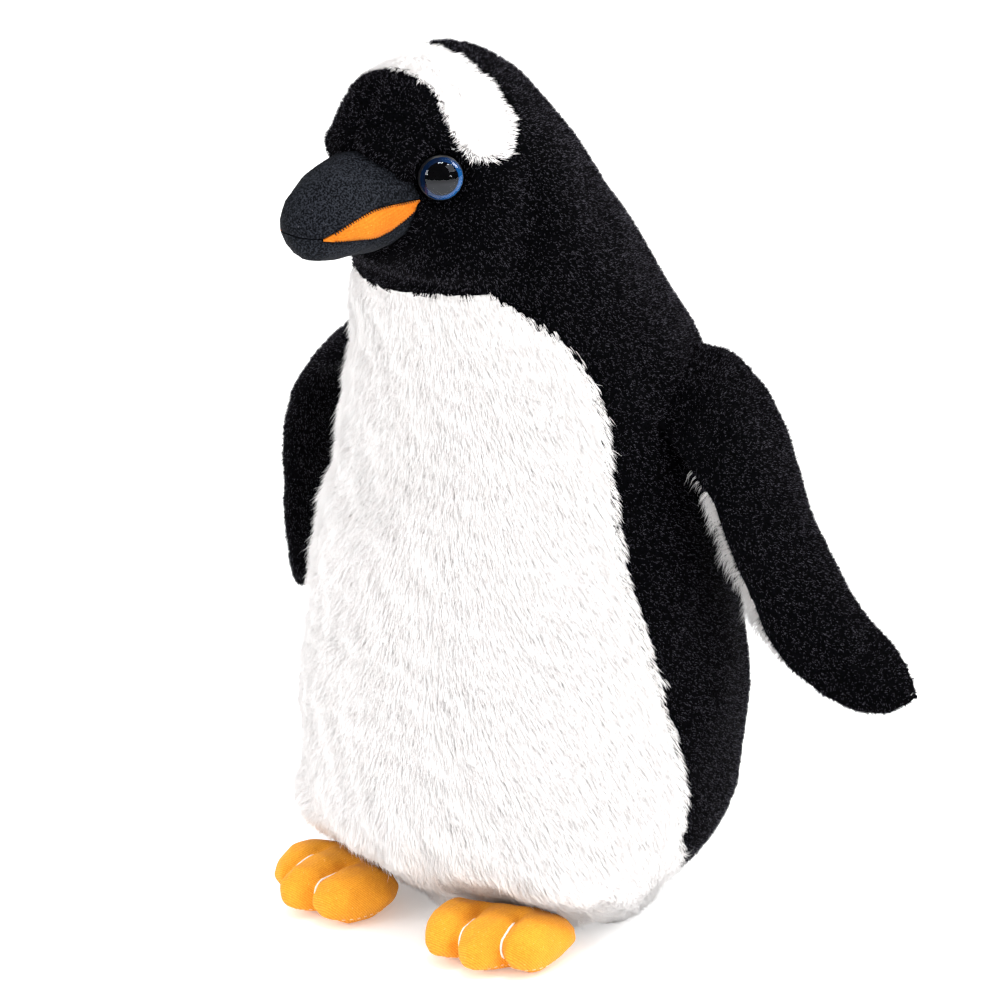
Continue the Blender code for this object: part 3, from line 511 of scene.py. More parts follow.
BLACK_PLUSH = dict(
    per_mm2=4.2, length=1.7 * MM, radius=0.15 * MM, lean=(34, 34), wild=0.8,
    steps=2, most=48000, soft=0.30, clump=2.4 * MM, crowd=0.55,
)
WHITE_PLUSH = dict(
    per_mm2=4.6, length=6.6 * MM, radius=0.09 * MM, lean=(42, 84), wild=0.15,
    steps=3, most=19000, soft=0.97, clump=7 * MM, crowd=0.06,
)
BAND_PLUSH = {**WHITE_PLUSH, "per_mm2": 7.5, "length": 3.2 * MM}
LINING_PLUSH = {**WHITE_PLUSH, "per_mm2": 3.6, "radius": 0.10 * MM, "soft": 0.93, "crowd": 0.14}


def part_of(ob, mask, name, mat, thick=CLOTH_THICK):
    """The polygons of ob that mask picks, as a closed panel of cloth."""
    mesh = ob.data
    co = coords(mesh)
    picked = [tuple(mesh.polygons[int(i)].vertices) for i in np.nonzero(mask)[0]]
    used = sorted({v for face in picked for v in face})
    number = {v: k for k, v in enumerate(used)}
    new = bpy.data.meshes.new(name)
    new.from_pydata(co[used].tolist(), [], [[number[v] for v in face] for face in picked])
    new.polygons.foreach_set("use_smooth", [True] * len(new.polygons))
    new.materials.append(mat)
    panel = new_object(name, new)
    shell = panel.modifiers.new("thickness", "SOLIDIFY")
    shell.thickness = thick
    shell.offset = -1
    return baked(panel)


def roots(ob, poly_weight, per_mm2, rng):
    """Random points on ob, with their normals."""
    mesh = ob.data
    co, no = coords(mesh), vertex_normals(mesh)
    tri, poly = triangles(mesh)
    a, b, c = co[tri[:, 0]], co[tri[:, 1]], co[tri[:, 2]]
    area = np.linalg.norm(np.cross(b - a, c - a), axis=1) / 2 * poly_weight[poly]
    count = int(area.sum() * 1e6 * per_mm2)
    chosen = np.searchsorted(np.cumsum(area), rng.random(count) * area.sum())
    chosen = np.minimum(chosen, len(tri) - 1)
    u, v = rng.random(count), rng.random(count)
    over = u + v > 1
    u[over], v[over] = 1 - u[over], 1 - v[over]
    w = 1 - u - v
    corner = tri[chosen]
    mixed = [u[:, None] * x[corner[:, 0]] + v[:, None] * x[corner[:, 1]] + w[:, None] * x[corner[:, 2]]
             for x in (co, no)]
    return mixed[0], unit(mixed[1])


def strands_mesh(name, stations, sides, radii, tone, mat, soft, normal):
    """Closed tapering fibres: stations is (count, steps, 3), sides two vectors per fibre and step."""
    count, steps, _ = stations.shape
    rings = steps - 1
    size = rings * 3 + 1
    points = np.empty((count, size, 3))
    for k in range(rings):
        for j in range(3):
            angle = math.pi * (1 + 4 * j) / 6
            spread = math.cos(angle) * sides[0][:, k] + math.sin(angle) * sides[1][:, k]
            points[:, k * 3 + j] = stations[:, k] + spread * radii[:, k][:, None]
    points[:, -1] = stations[:, -1]
    faces = [(2, 1, 0)]
    for k in range(rings - 1):
        for j in range(3):
            a, b = k * 3 + j, k * 3 + (j + 1) % 3
            faces.append((a, b, b + 3, a + 3))
    last = (rings - 1) * 3
    faces += [(last + j, last + (j + 1) % 3, size - 1) for j in range(3)]
    flat = np.array([v for face in faces for v in face])
    totals = np.array([len(face) for face in faces])
    mesh = bpy.data.meshes.new(name)
    mesh.vertices.add(count * size)
    mesh.vertices.foreach_set("co", points.astype(np.float32).ravel())
    loops = (flat[None] + np.arange(count)[:, None] * size).ravel()
    mesh.loops.add(len(loops))
    mesh.loops.foreach_set("vertex_index", loops.astype(np.int32))
    starts = np.concatenate(([0], np.cumsum(totals)[:-1]))
    starts = (starts[None] + np.arange(count)[:, None] * len(flat)).ravel()
    mesh.polygons.add(len(starts))
    mesh.polygons.foreach_set("loop_start", starts.astype(np.int32))
    mesh.polygons.foreach_set("use_smooth", np.ones(len(starts), bool))
    mesh.update(calc_edges=True)
    own = unit(points - np.repeat(stations[:, :-1], 3, 1)[:, [*range(rings * 3), rings * 3 - 1]])
    own[:, -1] = normal
    shading = unit(soft * normal[:, None] + (1 - soft) * own)
    free = mesh.attributes.new("custom_normal", "FLOAT_VECTOR", "POINT")
    free.data.foreach_set("vector", shading.astype(np.float32).ravel())
    cells = math.ceil(math.sqrt(count))
    column, row = np.arange(count) % cells, np.arange(count) // cells
    level = np.array([min(v // 3, rings) / rings for v in range(size)])
    across = np.array([0.2 + 0.3 * (v % 3) for v in range(size - 1)] + [0.5])
    u = (column[:, None] + across[flat][None]) / cells
    v = (row[:, None] + 0.15 + 0.7 * level[flat][None]) / cells
    layer = mesh.uv_layers.new(name="OFBake")
    layer.data.foreach_set("uv", np.stack((u, v), -1).astype(np.float32).ravel())
    for key, value in (("tone", np.repeat(tone, size)), ("along", np.tile(level, count))):
        attribute = mesh.attributes.new(key, "FLOAT", "POINT")
        attribute.data.foreach_set("value", value.astype(np.float32))
    mesh.materials.append(mat)
    return new_object(name, mesh)


def pile(name, ob, poly_weight, mat, flow, seed, keep=None, scale=None, *,
         per_mm2, length, radius, lean, wild, steps, most, soft, clump, crowd):
    """Fibres over ob that leave it near its normal and bend towards flow. Returns the pieces.

    lean is the angle from the normal at the root and at the tip, in degrees. wild turns each fibre by
    itself, and crowd turns those in a clump together. A piece holds at most most fibres. soft is how
    far a fibre is shaded with the skin's normal in place of its own.
    """
    rng = np.random.default_rng(seed)
    root, normal = roots(ob, poly_weight, per_mm2, rng)
    if keep is not None:
        mine = keep(root)
        root, normal = root[mine], normal[mine]
    count = len(root)
    way = flow(root)
    way = way + wild * rng.normal(size=(count, 3))
    way = way + crowd * np.stack([waves(root, clump, seed + k) for k in range(3)], -1)
    way = unit(way - (way * normal).sum(1)[:, None] * normal)
    side = np.cross(normal, way)
    long = length * rng.uniform(0.7, 1.2, count) * (1 + 0.12 * waves(root, 1.5 * clump, seed + 9))
    if scale is not None:
        long = long * scale(root)
    angle0, angle1 = (math.radians(a) for a in lean)
    tilt = rng.normal(0, TILT_SPREAD, count)
    at = root - ROOT_DEPTH * normal
    stations, other, radii = [at], [], []
    for k in range(steps - 1):
        angle = angle0 + (angle1 - angle0) * k / max(steps - 2, 1) + tilt
        step = np.cos(angle)[:, None] * normal + np.sin(angle)[:, None] * way
        other.append(np.cross(step, side))
        radii.append(np.full(count, radius * (1 - TAPER * k / max(steps - 2, 1))))
        at = at + step * (long / (steps - 1))[:, None]
        stations.append(at)
    stations = np.stack(stations, 1)
    stations[..., 2] = np.maximum(stations[..., 2], GROUND + radius)
    other, radii = np.stack(other, 1), np.stack(radii, 1)
    sides = (np.repeat(side[:, None], steps - 1, 1), other)
    tone = rng.random(count)
    pieces = []
    chunks = max(1, math.ceil(count / most))
    for k in range(chunks):
        pick = slice(k, None, chunks)
        label = f"{name}_{k + 1}" if chunks > 1 else name
        pieces.append(strands_mesh(label, stations[pick], (sides[0][pick], sides[1][pick]),
                                   radii[pick], tone[pick], mat, soft, normal[pick]))
    return pieces


# ---------------------------------------------------------------- body

BEAK_RIM_Z = 0.252
BEAK_RIM_RADIUS = 18.8 * MM
BAND_MIDDLE_Y = -0.052
EYE_SOCKET = 1.3 * MM       # depth that the eye's post pulls the cloth in
PANELS = ("belly_panel", "side_panel_left", "side_panel_right", "head_band", "base_panel")
SKIN_BIAS = (1.3, 0, 0, 0.3, 1.3)       # how far each panel's neighbours reach under its pile, in mm

# Swellings and tucks of the skin: height and width in mm, and the path they follow on the left side.
RELIEF = (
    (-2.6, 5.5, ((0.0385, -0.040, 0.256), (0.0395, -0.0395, 0.2415), (0.038, -0.045, 0.229))),
    (1.5, 10, ((0.030, -0.056, 0.243), (0.026, -0.060, 0.236))),
    (-3.0, 4.5, ((0, -0.066, 0.2225), (0.019, -0.0615, 0.222), (0.029, -0.054, 0.2215),
                 (0.039, -0.040, 0.216))),
    (4.6, 12, ((0.006, -0.072, 0.270), (0.006, -0.063, 0.279))),
    (1.6, 9, ((0, -0.050, 0.293), (0, -0.040, 0.296))),
    (-1.0, 6, ((0.053, -0.004, 0.200), (0.0565, -0.0045, 0.186), (0.060, -0.005, 0.173))),
    (5.0, 13, ((0.056, -0.036, 0.012), (0.052, -0.045, 0.032))),
    (-3.5, 8, ((0.024, -0.052, 0.010), (0.048, -0.048, 0.010))),
    (-5.0, 7, ((0.012, -0.060, 0.006), (0.010, -0.068, 0.030))),
    (2.0, 7, ((0, -0.058, 0.010), (0, -0.064, 0.022))),
)


def beak_gap(p):
    """Distance outside the rim where the beak is sewn on, seen from the front."""
    return np.hypot(p[:, 0], p[:, 2] - BEAK_RIM_Z) - BEAK_RIM_RADIUS


def eye_gap(p):
    """Distance from the nearer eye's axis, large away from the eyes."""
    centre, back = (np.array(sum(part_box("eye_left_" + n), Vector()) / 2) for n in ("dome", "washer"))
    from_eye = np.stack((np.abs(p[:, 0]), p[:, 1], p[:, 2]), -1) - centre
    axis = unit(centre - back)
    level = from_eye @ axis
    aside = np.linalg.norm(from_eye - np.outer(level, axis), axis=1)
    return np.where(np.abs(level) < 12 * MM, aside, 1.0)


def body_relief(p):
    """How far the skin stands out of the CAD form at p, from the way the toy is sewn and filled."""
    mirror = np.stack((np.abs(p[:, 0]), p[:, 1], p[:, 2]), -1)
    out = 0.5 * MM * waves(p, 34 * MM, 5)
    for height, width, path in RELIEF:
        out += height * MM * hill(along_path(mirror, path), width * MM)
    out += 2.6 * MM * hill(beak_gap(p), 3.4 * MM) * near_beak(p)
    socket = smoothstep(11 * MM, 7.5 * MM, eye_gap(p))
    return out * (1 - socket) - EYE_SOCKET * socket


def near_beak(p):
    return smoothstep(-0.045, -0.055, p[:, 1])


def body_form():
    """The body's skin, black and white panels in one."""
    ob = snapped(remeshed("body_form", BODY_NODES, 4.0 * MM, 6), BODY_NODES)
    co, no = coords(ob.data), vertex_normals(ob.data)
    to_white, to_black = distance(co, WHITE_NODES), distance(co, BLACK_NODES)
    white = np.clip(0.5 + (to_black - to_white) / SINK_BLEND, 0, 1)
    deep = WHITE_SINK + (WHITE_SINK_HEAD - WHITE_SINK) * smoothstep(0.230, 0.245, co[:, 2])
    sink = BLACK_SINK + (deep - BLACK_SINK) * white + SWELL
    flat = smoothstep(1 * MM, 6 * MM, co[:, 2])
    set_coords(ob.data, co - no * (sink * flat)[:, None])
    seam = np.abs(to_white - to_black) < SEAM_HALF
    middle_seam = (np.abs(co[:, 0]) < 2.2 * MM) & (to_black < to_white)
    inflated(ob, seam | middle_seam | (co[:, 2] < 2 * MM), SWELL + 1.2 * MM)
    subdivided(ob)
    co, no = coords(ob.data), vertex_normals(ob.data)
    co = co + no * body_relief(co)[:, None]
    co[:, 2] = np.maximum(co[:, 2], GROUND)
    set_coords(ob.data, co)
    return ob


BODY = body_form()
CENTRES = polygon_centres(BODY.data)


def sewn_gaps(points):
    """Distances to the panels, with the black chin reaching down a little in the middle."""
    gaps = np.stack([distance(points, (n,)) for n in PANELS], 1)
    chin = 2.4 * MM * hill(points[:, 0] + 8 * MM, 20 * MM) * hill(points[:, 2] - 0.219, 6 * MM)
    gaps[:, 1:3] -= chin[:, None]
    return gaps


GAPS = sewn_gaps(CENTRES)
SKIN_OWNER = (GAPS + MM * np.array(SKIN_BIAS)).argmin(1)


def near_owner(index):
    """Polygons of a panel and a rim of its neighbours' round it."""
    return (GAPS[:, index] - GAPS.min(1) < 4 * MM).astype(float)


def keeper(index):
    """Picks the roots whose nearest panel is this one, with a slightly uneven seam, clear of the eyes."""
    def keep(points):
        gaps = sewn_gaps(points)
        gaps[:, index] -= 0.25 * MM * waves(points, 3 * MM, 7)
        return (gaps.argmin(1) == index) & (eye_gap(points) > 7.1 * MM)
    return keep


def seam_short(low, nodes, full):
    """The pile is clipped to a share low at the seam with nodes and is whole at a distance full."""
    def scale(points):
        return low + (1 - low) * smoothstep(0.5 * MM, full, distance(points, nodes))
    return scale


def belly_flow(p):
    return np.stack((p[:, 0] / 0.075, np.full(len(p), 0.15), np.full(len(p), -1.0)), -1)


def side_flow(p):
    """Down and back, and inwards over the beak's rim."""
    back = np.where(p[:, 2] > 0.21, 0.8, 0.25)
    rim = (2.5 * hill(beak_gap(p), 3 * MM) * near_beak(p))[:, None]
    onto = np.stack((-p[:, 0] / 0.02, np.full(len(p), -1.6), (BEAK_RIM_Z - p[:, 2]) / 0.02), -1)
    return np.stack((np.zeros(len(p)), back, np.full(len(p), -0.8)), -1) * (1 - 0.3 * rim) + rim * onto


def band_flow(p):
    """Outwards from the band's middle line over both of its edges."""
    over_edge = np.clip((p[:, 1] - BAND_MIDDLE_Y) / (5 * MM), -1, 1)
    return np.stack((np.sign(p[:, 0]) * 0.5, over_edge, np.full(len(p), -0.2)), -1)


BELLY_CLIP = seam_short(0.66, BLACK_NODES, 7 * MM)
BLACK_CLIP = seam_short(0.45, ("head_band",), 3.5 * MM)
BAND_CLIP = seam_short(0.85, BLACK_NODES, 3.5 * MM)
COATS = (
    ("belly_panel", belly_flow, BELLY_CLIP, WHITE_PLUSH),
    ("side_panel_left", side_flow, BLACK_CLIP, BLACK_PLUSH),
    ("side_panel_right", side_flow, BLACK_CLIP, BLACK_PLUSH),
    ("head_band", band_flow, BAND_CLIP, BAND_PLUSH),
    ("base_panel", None, None, None),
)


def cover(index, node, flow, clip, plush):
    """The skin of one body panel with its pile."""
    white = node in WHITE_NODES
    made = [part_of(BODY, SKIN_OWNER == index, node + "_skin", WHITE_BACKING if white else BLACK_BACKING)]
    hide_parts(node)
    if plush:
        made += pile(node + "_pile", BODY, near_owner(index), WHITE_PILE if white else BLACK_PILE, flow,
                     20 + index, keeper(index), clip, **plush)
    for piece in made:
        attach(piece, "body")


for index, coat in enumerate(COATS):
    cover(index, *coat)


def filling(name, ob, depth, *nodes):
    """The fibre fill inside a skin."""
    mesh = ob.data.copy()
    fill = new_object(name, mesh)
    set_coords(mesh, coords(mesh) - vertex_normals(mesh) * depth)
    mesh.materials.clear()
    mesh.materials.append(FIBRE)
    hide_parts(*nodes)
    return fill


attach(filling("body_filling", BODY, 2.2 * MM, "torso_stuffing", "head_stuffing"), "body")


# ---------------------------------------------------------------- wings

TIP_GROWTH = 3.2 * MM       # the pile and its filling go this far past the CAD wing's tip


def skin_tree(ob):
    tri, _ = triangles(ob.data)
    return BVHTree.FromPolygons(coords(ob.data).tolist(), tri.tolist())


BODY_TREE = skin_tree(BODY)


def to_body(points):
    """Signed distance out of the body's skin, and the way out."""
    gap, out = np.empty(len(points)), np.empty((len(points), 3))
    for k, p in enumerate(points.tolist()):
        near, normal, _, _ = BODY_TREE.find_nearest(p)
        gap[k] = (Vector(p) - near).dot(normal)
        out[k] = normal
    return gap, out


def sewn_in(points, hinge, down, depth):
    """Points near a wing's root, drawn through the body's skin to depth."""
    gap, out = to_body(points)
    pull = smoothstep(11 * MM, 1.5 * MM, gap) * smoothstep(20 * MM, 5 * MM, (points - hinge) @ down)
    return points - out * (pull * (gap + depth))[:, None]


def wing_forms(body, names, sign, hinge, down):
    """The wing's skin, sewn to the body, and the points of the filling's surface inside it."""
    ob = snapped(remeshed(body + "_form", names, 2.4 * MM, 4), names)
    co, no = coords(ob.data), vertex_normals(ob.data)
    set_coords(ob.data, co - no * WING_SINK)
    seam = np.abs(distance(co, names[:1]) - distance(co, names[1:2])) < 1.0 * MM
    inflated(ob, seam, 1.3 * MM)
    subdivided(ob)
    co, no = coords(ob.data), vertex_normals(ob.data)
    co += no * (0.35 * MM * waves(co, 26 * MM, 31))[:, None]
    reach = (co - hinge) @ down
    tip_way = unit(down + (0.30 if sign > 0 else 0) * np.array((1.0, 0, 0)))
    co += np.outer(TIP_GROWTH * smoothstep(66 * MM, 104 * MM, reach), tip_way)
    if sign > 0:
        slim = 0.7 * MM * smoothstep(18 * MM, 34 * MM, reach) * smoothstep(85 * MM, 60 * MM, reach)
        co -= no * slim[:, None]
    inner = co - no * 1.8 * MM
    narrow = 0.6 * smoothstep(32 * MM, 5 * MM, reach)
    inner += (inner[reach < 25 * MM].mean(0) - inner) * narrow[:, None]
    set_coords(ob.data, sewn_in(co, hinge, down, 2.0 * MM))
    return ob, sewn_in(inner, hinge, down, 4.5 * MM)


def bend(pieces):
    """Bakes each piece's placement into its mesh."""
    for piece in pieces:
        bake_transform(piece)


def lead_edge(front, reach):
    """How far forward the wing goes at each distance from its root."""
    bins = np.clip((reach / (3 * MM)).astype(int), 0, 60)
    far = np.full(61, -1.0)
    np.maximum.at(far, bins, front)
    return far[bins]


def left_outer(centres, names, front, reach):
    """Black side of the left wing, where the lining shows as a strip along the leading edge."""
    to_outer, to_lining = (distance(centres, (n,)) for n in names[:2])
    edge = lead_edge(front, reach)
    lead = (front > edge - 7 * MM) & (reach > 15 * MM) & (reach < 86 * MM)
    wide = 2.6 * MM + 1.8 * MM * hill(reach - 32 * MM, 9 * MM) + 1.0 * MM * hill(reach - 62 * MM, 12 * MM)
    outer = (to_outer < to_lining) & (~lead | (to_outer + wide < to_lining))
    outer |= (reach < 30 * MM) & (front < edge - 3.0 * MM)
    return outer | (reach < 15 * MM) | (reach > 94 * MM)


def right_outer(centres, names, reach):
    """Black side of the right wing, folded over its leading edge."""
    to_outer, to_lining = (distance(centres, (n,)) for n in names[:2])
    front_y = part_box(names[0])[0][1]
    return (to_outer < to_lining) | (reach < 38 * MM) | (centres[:, 1] < front_y + 27 * MM)


def wing(side, sign):
    body = "wing_" + side
    names = [f"{body}_{part}" for part in ("outer", "lining", "stuffing")]
    joint = JOINTS[body + "_flap"]
    hinge, axis = np.array(joint["pos_m"]), unit(np.array(joint["axis"], float))
    low, high = (np.array(c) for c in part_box(names[0]))
    tip = np.array((high[0] if sign > 0 else low[0], high[1], low[2]))
    down = unit(tip - hinge)
    down = unit(down - (down @ axis) * axis)
    ob, inner = wing_forms(body, names, sign, hinge, down)
    centres = polygon_centres(ob.data)
    reach = (centres - hinge) @ down
    if sign > 0:
        outer = left_outer(centres, names, (centres - hinge) @ axis, reach)
    else:
        outer = right_outer(centres, names, reach)

    def flow(p):
        return np.tile(down + 0.25 * axis, (len(p), 1))

    def lining_flow(p):
        if sign < 0:
            return np.tile(0.5 * down - 0.1 * axis, (len(p), 1))
        clear_of, outwards = to_body(p)
        return 0.5 * down + 1.6 * axis + outwards * hill(clear_of, 8 * MM)[:, None]

    def lining_clip(p):
        return 1 - 0.45 * smoothstep(74 * MM, 88 * MM, (p - hinge) @ down)

    backing = outer | (reach < 24 * MM)     # the black backing also lies under the first white fibres
    outer_skin = part_of(ob, backing, body + "_outer_skin", BLACK_BACKING, WING_CLOTH)
    lining_skin = part_of(ob, ~backing, body + "_lining_skin", WHITE_BACKING, WING_CLOTH)
    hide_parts(names[0])
    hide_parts(names[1])
    fill = filling(body + "_filling", ob, 0, names[2])
    set_coords(fill.data, inner)
    gap, _ = to_body(centres)
    open_air = (gap > -0.8 * MM).astype(float)
    length, lean = (6.0 * MM, (20, 66)) if sign > 0 else (4.4 * MM, (46, 80))
    lining = {**LINING_PLUSH, "length": length, "lean": lean}
    blacks = pile(body + "_outer_pile", ob, outer * open_air, BLACK_PILE, flow, 41 + sign, **BLACK_PLUSH)
    whites = pile(body + "_lining_pile", ob, (~outer) * open_air, WHITE_PILE, lining_flow, 45 + sign,
                  scale=lining_clip, **lining)
    bend([outer_skin, *blacks])
    bend([lining_skin, *whites])
    bend([fill])
    bpy.data.objects.remove(ob)


for side, sign in SIDES:
    wing(side, sign)


# ---------------------------------------------------------------- threads

def tube(points, radius, name):
    """A closed thread of round section through points."""
    points = np.array(points, float)
    ways = unit(np.gradient(points, axis=0))
    side = unit(np.cross(ways, (1.0, 0.001, 0.002)))
    up = np.cross(side, ways)
    verts, faces = [], []
    around, count = 8, len(points)
    end_share = 0.35        # the ends are pulled in where they enter the cloth
    for k in range(count):
        shape = radius * (end_share if k in (0, count - 1) else 1)
        for j in range(around):
            a = 2 * math.pi * j / around
            verts.append(points[k] + shape * (math.cos(a) * side[k] + math.sin(a) * up[k]))
    for k in range(count - 1):
        for j in range(around):
            a, b = k * around + j, k * around + (j + 1) % around
            faces.append((a, a + around, b + around, b))
    faces.append(tuple(range(around)))
    faces.append(tuple((count - 1) * around + j for j in reversed(range(around))))
    mesh = bpy.data.meshes.new(name)
    mesh.from_pydata([tuple(v) for v in verts], [], faces)
    mesh.polygons.foreach_set("use_smooth", [True] * len(mesh.polygons))
    mesh.materials.append(THREAD)
    return new_object(name, mesh)


def stitch(pairs, radius, name, mat):
    """Short capsules of thread, one for each pair of points."""
    bm = bmesh.new()
    for a, b in pairs:
        a, b = Vector(a), Vector(b)
        way = (b - a).normalized()
        turn = way.to_track_quat("Z", "Y").to_matrix().to_4x4()
        turn.translation = (a + b) / 2
        made = bmesh.ops.create_uvsphere(bm, u_segments=8, v_segments=6, radius=radius)["verts"]
        for v in made:
            if abs(v.co.z) > 1e-9:
                v.co.z += math.copysign((b - a).length / 2, v.co.z)
            v.co = turn @ v.co
    mesh = bpy.data.meshes.new(name)
    bm.to_mesh(mesh)
    bm.free()
    mesh.polygons.foreach_set("use_smooth", [True] * len(mesh.polygons))
    mesh.materials.append(mat)
    return new_object(name, mesh)


# ---------------------------------------------------------------- beak and eyes

def sewn_copy(name, node, mat):
    """A CAD cloth piece with the slack of real cloth in it."""
    bm = bmesh.new()
    bm.from_mesh(NODES[node].data)
    bmesh.ops.remove_doubles(bm, verts=bm.verts, dist=1e-5)
    bmesh.ops.subdivide_edges(bm, edges=bm.edges, cuts=1, use_grid_fill=True)
    mesh = bpy.data.meshes.new(name)
    bm.to_mesh(mesh)
    bm.free()
    mesh.materials.clear()
    mesh.materials.append(mat)
    mesh.polygons.foreach_set("use_smooth", [True] * len(mesh.polygons))
    ob = new_object(name, mesh)
    co = coords(mesh)
    middle = np.stack((0 * co[:, 0], co[:, 1], np.full(len(co), 0.250)), -1)
    set_coords(mesh, co + unit(co - middle) * (0.22 * MM * waves(co, 13 * MM, 61))[:, None])
    mesh.set_sharp_from_angle(angle=math.radians(50))
    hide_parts(node)
    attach(ob, "body")
    return ob


def moulded(name, node, mat):
    """A hard CAD piece with its curved faces smooth and its edges crisp."""
    ob = joined(name, (node,))
    ob.data.materials.clear()
    ob.data.materials.append(mat)
    ob.data.polygons.foreach_set("use_smooth", [True] * len(ob.data.polygons))
    ob.data.set_sharp_from_angle(angle=math.radians(35))
    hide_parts(node)
    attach(ob, "body")


def flash_seam(node, side, sign):
    """Outer edge of the orange flash against node, from the root to the tip, as points and normals."""
    flash = joined("flash", ("beak_flash_" + side,))
    co, no = coords(flash.data), vertex_normals(flash.data)
    bpy.data.objects.remove(flash)
    edge = no[:, 0] * sign > 0.35
    edge[edge] = distance(co[edge], (node,)) < 0.8 * MM
    order = np.argsort(co[edge][:, 1])[::-1]
    return co[edge][order], no[edge][order]


def lengths_along(points):
    """Length of the line through points up to each of them."""
    return np.concatenate(([0], np.cumsum(np.linalg.norm(np.diff(points, axis=0), axis=1))))


def at_length(length, gone, values):
    return np.array([np.interp(length, gone, values[:, k]) for k in range(3)])


def beak_stitches(side, sign):
    """Fine black overlock stitches across both edges of a flash."""
    pairs = []
    for node, lift in (("beak_upper", 1), ("beak_lower", -1)):
        co, no = flash_seam(node, side, sign)
        gone = lengths_along(co)
        for length in np.arange(0.5 * MM, gone[-1], 0.95 * MM):
            face = unit(at_length(length, gone, no))
            here = at_length(length, gone, co) + 0.05 * MM * face
            up = unit(np.cross(face, (0, 1.0, 0)) * -sign)
            up = up * np.sign(up[2] or 1) * lift
            pairs.append((here - 0.38 * MM * up, here + 0.3 * MM * up))
    made = stitch(pairs, 0.18 * MM, f"beak_flash_{side}_edge_stitches", BLACK_KNIT)
    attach(made, "body")


for node in ("beak_upper", "beak_lower"):
    sewn_copy(node + "_skin", node, BLACK_KNIT)
for side, sign in SIDES:
    low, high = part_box(f"eye_{side}_iris")
    # the iris material carries painted light: its painted highlight lies towards the last vector
    paint_and_light = iris("blue_iris_" + side, tuple((low + high) / 2), (0.66 * sign, 0.60, -0.45))
    eye_parts = (
        ("dome", DOME, "clear_plastic"), ("pupil", PUPIL, "black_plastic"), ("iris", paint_and_light, "blue_paint"),
        ("backing", BACKING, "black_plastic"), ("washer", BACKING, "black_plastic"),
    )
    sewn_copy(f"beak_flash_{side}_skin", f"beak_flash_{side}", FLASH_KNIT)
    beak_stitches(side, sign)
    for part, mat, slot in eye_parts:
        moulded(f"eye_{side}_{part}_moulded", f"eye_{side}_{part}", mat)
wear("beak_stuffing", FIBRE)
wear("pellet_pouch", POUCH)
wear("pellet_fill", PELLETS)


# ---------------------------------------------------------------- feet

HEM_HEIGHT = 3.3 * MM       # of the stitches round the sole


def thread_line(node):
    """Where a toe thread starts and its level direction towards the toes."""
    co = coords(NODES[node].data)
    order = np.argsort(co[:, 1])
    tip, start = co[order[:8]].mean(0), co[order[-8:]].mean(0)
    return start, unit((tip - start) * (1, 1, 0))


def foot_form(body, names, threads, lines):
    """The foot's skin, drawn in along its toe threads."""
    ob = snapped(remeshed(body + "_form", names, 1.3 * MM, 3), names)
    co, no = coords(ob.data), vertex_normals(ob.data)
    held = (distance(co, threads) < 1.6 * MM) | (co[:, 2] < 1.5 * MM)
    set_coords(ob.data, co - no * FOOT_SINK)
    inflated(ob, held, 1.6 * MM)
    subdivided(ob)
    co, no = coords(ob.data), vertex_normals(ob.data)
    for start, way in lines:
        ahead = (co - start) @ way
        valley = hill((co - start) @ np.cross(way, (0, 0, 1.0)), 2.0 * MM)
        front = smoothstep(-3 * MM, 9 * MM, ahead) * smoothstep(1.0 * MM, 5 * MM, co[:, 2])
        co -= np.outer(4.6 * MM * valley * front * smoothstep(18 * MM, 9 * MM, co[:, 2]), way)
        top = smoothstep(-5 * MM, 3 * MM, ahead) * smoothstep(9 * MM, 13 * MM, co[:, 2])
        co[:, 2] -= 1.9 * MM * valley * top
    co += no * (0.12 * MM * waves(co, 9 * MM, 71))[:, None]
    co[:, 2] = np.maximum(co[:, 2], GROUND)
    set_coords(ob.data, co)
    return ob


def hem(tree, body, upper, hinge):
    """Small stitches round the sole, cast from a point inside it over the front half turn."""
    low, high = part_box(upper)
    middle = Vector(((low.x + high.x) / 2, hinge.y - 12 * MM, HEM_HEIGHT))
    ring = []
    for angle in np.linspace(math.pi, 2 * math.pi, 720):
        way = Vector((math.cos(angle), math.sin(angle), 0))
        hit = tree.ray_cast(middle + way * 0.08, -way)[0]
        if hit is not None:
            ring.append(np.array(hit))
    ring = np.array(ring)
    gone = lengths_along(ring)
    pairs = []
    length = 1 * MM
    while length + 1.2 * MM < gone[-1]:
        pairs.append([at_length(s, gone, ring) for s in (length, length + 0.8 * MM)])
        length += 2.3 * MM + 0.35 * MM * math.sin(9.7 * length / MM)
    # the stitches wear white thread painted in shade
    return stitch(pairs, 0.19 * MM, body + "_hem_stitches", HEM_THREAD_IN_SHADE)


def toe_thread(tree, node, start, way, lift):
    """A thread over the toes, from the top of the foot down to its front."""
    centre = Vector((*(start + 6 * MM * way)[:2], 0.004))
    path = []
    for angle in np.linspace(math.radians(96), math.radians(20), 15):
        up = Vector((*(way[:2] * math.cos(angle)), math.sin(angle)))
        hit, normal, _, _ = tree.ray_cast(centre + up * 0.06, -up)
        if hit is not None:
            path.append(hit + normal * lift)
    thread = tube(path, 0.36 * MM, node + "_stitch")
    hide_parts(node)
    return thread


